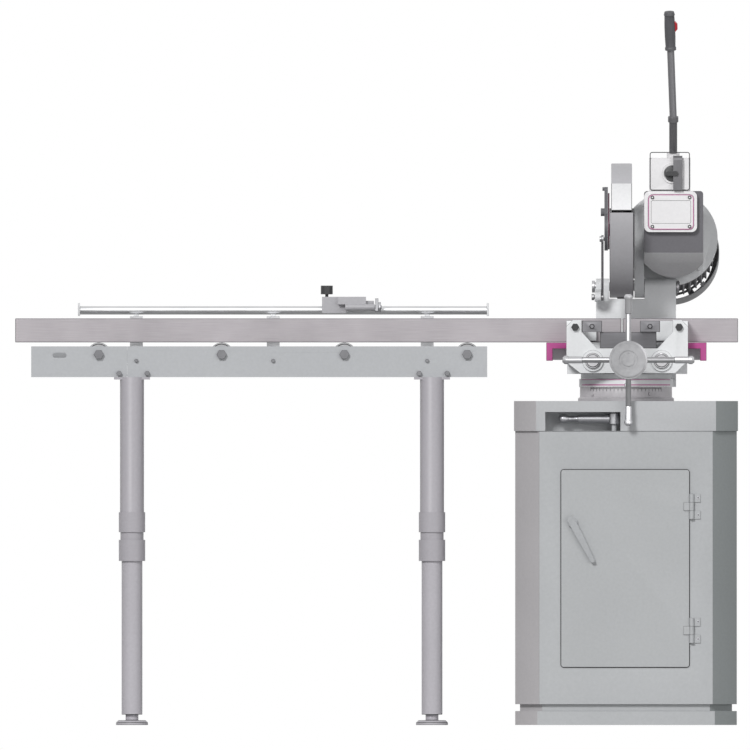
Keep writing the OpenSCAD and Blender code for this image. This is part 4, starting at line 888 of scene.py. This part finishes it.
blade_tone.inputs["To Min"].default_value = 0.22
blade_tone.inputs["To Max"].default_value = 0.38
blade_color = blade_nodes.new("ShaderNodeValToRGB")
blade_color.color_ramp.elements[0].color = (0.44, 0.44, 0.46, 1)
blade_color.color_ramp.elements[1].color = (0.60, 0.60, 0.62, 1)
blade_links.new(blade_place.outputs["Object"], blade_centred.inputs["Vector"])
blade_links.new(blade_centred.outputs["Vector"], blade_rings.inputs["Vector"])
blade_links.new(blade_rings.outputs["Fac"], blade_tone.inputs["Value"])
blade_links.new(blade_rings.outputs["Fac"], blade_color.inputs["Fac"])
blade_links.new(blade_tone.outputs["Result"], blade_shader.inputs["Roughness"])
blade_links.new(blade_color.outputs["Color"], blade_shader.inputs["Base Color"])
saw_blade = frame["nodes"]["saw_blade"]
saw_blade.data.materials.clear()
saw_blade.data.materials.append(blade_ground)
spindle = broken_edges("spindle", turned_hub, rod_edge, width=0.0006)

# The worm drive runs in grease inside the gearbox: a bronze wheel on the spindle,
# a steel worm above it and the motor's pinion behind.
gear_bronze = worked("gear_bronze", (0.50, 0.34, 0.14), roughness=0.35, contrast=0.6)
oiled_steel = worked("oiled_steel", (0.32, 0.32, 0.33), roughness=0.25, contrast=0.5)
for node, finish in (
    ("worm_wheel", gear_bronze),
    ("worm_shaft", oiled_steel),
    ("motor_rotor", oiled_steel),
):
    inner_part = frame["nodes"][node]
    inner_part.data.materials.clear()
    inner_part.data.materials.append(finish)

# The gearbox is a dark grey casting with a domed underside. The motor bolts to its
# rear by a round flange in the machine's enamel.
gearbox_grey = coated(
    "gearbox_grey", (0.118, 0.115, 0.127), roughness=0.5, dust=0.4, peel=240.0, relief=0.2
)
gearbox_edge = coated("gearbox_edge", (0.055, 0.055, 0.06), roughness=0.4, dust=0.4)
gear_housing = broken_edges("gear_housing", gearbox_grey, gearbox_edge, width=0.0014)
sump_grey = coated(
    "sump_grey", (0.48, 0.48, 0.49), roughness=0.45, dust=0.4, peel=240.0, relief=0.2
)
sump_top_z = 1.1795
second_finish(gear_housing, sump_grey, lambda at: at.z < sump_top_z)
motor_flange = broken_edges("motor_flange", enamel_white, rubbed_enamel, width=0.0012)

# The cover on the gearbox's front is white enamel. It has a recessed panel in a
# magenta bead, with four black screws in it.
cover_white = coated("cover_white", (0.80, 0.79, 0.80), roughness=0.35, dust=0.2)
gear_cover = broken_edges("gear_cover", cover_white, rubbed_enamel, width=0.0016)
cover_low, cover_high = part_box("gear_cover")
cover_recess = 0.0030
bead_half = 0.0005
cover_face = cover_low.y + cover_recess
bead_low = (cover_low.x + 0.0125, cover_low.z + 0.0085)
bead_high = (cover_high.x - 0.0105, cover_high.z - 0.0105)
cover_bead = flat_frame(
    "cover_bead", bead_low, bead_high,
    wide=0.0016, y_front=cover_face - bead_half, y_back=cover_face + bead_half,
    corner=0.010, material=magenta_enamel,
)
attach(cover_bead, "head")
cover_xs = (cover_low.x + 0.021, cover_high.x - 0.019)
cover_zs = (cover_low.z + 0.014, cover_high.z - 0.016)
screws(
    "cover_screws", "head", [(x, cover_face, z) for x in cover_xs for z in cover_zs],
    (0, -1, 0),
    radius=0.0041, height=0.0030, share=0.5, head_finish=insert_edge, recess_finish=socket_dark,
)

# The motor is a ribbed casting with a sheet cover over its fan. Dust lies on both.
motor_grey = coated(
    "motor_grey", (0.30, 0.295, 0.31), roughness=0.5, dust=0.6, peel=240.0, relief=0.2
)
motor = broken_edges("motor", motor_grey, gearbox_edge, width=0.0006)
fan_grey = coated("fan_grey", (0.30, 0.30, 0.31), roughness=0.45, dust=0.5)
fan_cover = broken_edges("fan_cover", fan_grey, gearbox_edge, width=0.0005)

# The switch box is pressed sheet in white enamel, edged in black where its lid
# closes. A black rotary switch turns in the ring on its front.
switch_box = broken_edges("switch_box", cover_white, rubbed_casting, width=0.0014)
rotary_switch = broken_edges("rotary_switch", moulded_black, worn_black, width=0.0007)
box_low, box_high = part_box("switch_box")
lid_inset = 0.0035
lid_low = (box_low.x + lid_inset, box_low.z + lid_inset)
lid_high = (box_high.x - lid_inset, box_high.z - lid_inset)
lid_edge = flat_frame(
    "lid_edge", lid_low, lid_high,
    wide=0.0022, y_front=-0.0249, y_back=-0.0238, corner=0.004, material=moulded_black,
)
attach(lid_edge, "head")

# The pull-down lever is bent steel tube with a moulded grip. The trigger that
# starts the motor is set in the grip.
lever_steel = worked(
    "lever_steel", (0.160, 0.158, 0.166), roughness=0.42, stretch=(900, 900, 25), metallic=0.6
)
handle_lever = broken_edges("handle_lever", lever_steel, lever_steel, width=0.0010)
grip_grey = coated(
    "grip_grey", (0.085, 0.085, 0.092), roughness=0.5, dust=0.5, peel=900.0, relief=0.35
)
handle_grip = broken_edges("handle_grip", grip_grey, worn_black, width=0.0010, sharp=50)


def bent_strap(name, path, x_low, x_high, thick, body, material):
    """A flat strap of constant thickness along a path in the YZ plane."""
    count = len(path)
    normals = []
    for i in range(count):
        before = Vector(path[max(i - 1, 0)])
        after = Vector(path[min(i + 1, count - 1)])
        along = (after - before).normalized()
        normals.append((-along.y, along.x))
    verts = []
    for (y, z), (ny, nz) in zip(path, normals):
        for x in (x_low, x_high):
            verts.append((x, y - ny * thick / 2, z - nz * thick / 2))
            verts.append((x, y + ny * thick / 2, z + nz * thick / 2))
    faces = [(0, 1, 3, 2)]
    for i in range(count - 1):
        a = i * 4
        b = a + 4
        faces += [(a, b, b + 1, a + 1), (a + 2, a + 3, b + 3, b + 2)]
        faces += [(a, a + 2, b + 2, b), (a + 1, b + 1, b + 3, a + 3)]
    last = (count - 1) * 4
    faces.append((last, last + 2, last + 3, last + 1))
    piece = solid_piece(name, verts, faces, material)
    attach(piece, body)
    return piece


bend_r = 0.009
bend_y = -0.0275
bend_z = 1.412
strap_foot_z = 1.337
strap_back_y = 0.0200
strap_path = [(bend_y - bend_r, strap_foot_z), (bend_y - bend_r, bend_z)]
for turned in range(10, 91, 10):
    turn = math.radians(turned)
    strap_path.append((bend_y - bend_r * math.cos(turn), bend_z + bend_r * math.sin(turn)))
strap_path.append((strap_back_y, bend_z + bend_r))
bent_strap(
    "lever_strap", strap_path, x_low=0.1180, x_high=0.1410, thick=0.004,
    body="head", material=lever_steel,
)
trigger_red = coated("trigger_red", (0.42, 0.02, 0.03), roughness=0.3, dust=0.3)
trigger_worn = coated("trigger_worn", (0.55, 0.12, 0.12), roughness=0.35, dust=0.3)
trigger = broken_edges("trigger", trigger_red, trigger_worn, width=0.0008)

# The roller table's rails are folded sheet channels, bolted to the cabinet and to
# the legs. They have the same grey coat as the cabinet, a shade lighter.
rail_grey = coated("rail_grey", (0.43, 0.44, 0.455))
front_rail = broken_edges("front_rail", rail_grey, rubbed_coat, width=0.0021)
rear_rail = broken_edges("rear_rail", rail_grey, rubbed_coat, width=0.0021)
cross_beams = broken_edges("cross_beams", rail_grey, rubbed_coat, width=0.0012)
blackened_steel = worked("blackened_steel", (0.20, 0.20, 0.21), roughness=0.42)
table_fasteners = broken_edges("table_fasteners", blackened_steel, rod_edge, width=0.0012)

# The legs are steel tubes, the lower sliding in the upper and held by a clamping
# collar. Their coat is faintly violet, and each stands on a pressed foot.
leg_violet = coated("leg_violet", (0.380, 0.365, 0.392), roughness=0.42, dust=0.3)
upper_legs = broken_edges("upper_legs", leg_violet, rubbed_coat, width=0.0012)
foot_violet = coated("foot_violet", (0.43, 0.415, 0.445), roughness=0.42, dust=0.35)
for number in (1, 2, 3, 4):
    lower_leg = broken_edges("lower_leg_" + str(number), foot_violet, rubbed_coat, width=0.0012)

# The rollers are plated steel tubes on fixed spindles, scratched along their length
# by the bars that slide over them.
roller_steel = worked(
    "roller_steel", (0.50, 0.50, 0.51), roughness=0.3, contrast=0.6, stretch=(18, 700, 700)
)
for number in (1, 2, 3, 4):
    roller = broken_edges("roller_" + str(number), roller_steel, rod_edge, width=0.0010)

# The measuring rail is a drawn aluminium rod on small posts behind the bar, with a
# plate across each end.
drawn_rail = worked("drawn_rail", (0.62, 0.625, 0.635), roughness=0.34, stretch=(14, 900, 900))
rail_edge = worked("rail_edge", (0.15, 0.15, 0.155), roughness=0.5)
measuring_rail = broken_edges("measuring_rail", drawn_rail, rail_edge, width=0.0008)

# The length stop is a small carriage that is clamped on the rail by a knob. Its arm
# reaches over the bar and flips up out of the way.
carriage_grey = coated("carriage_grey", (0.46, 0.455, 0.475), roughness=0.4, dust=0.4)
stop_carriage = broken_edges("stop_carriage", carriage_grey, gearbox_edge, width=0.0016)
stop_knob = broken_edges("stop_knob", moulded_black, worn_black, width=0.0010, sharp=50)
stop_arm = broken_edges("stop_arm", plated_steel, rod_edge, width=0.0008)
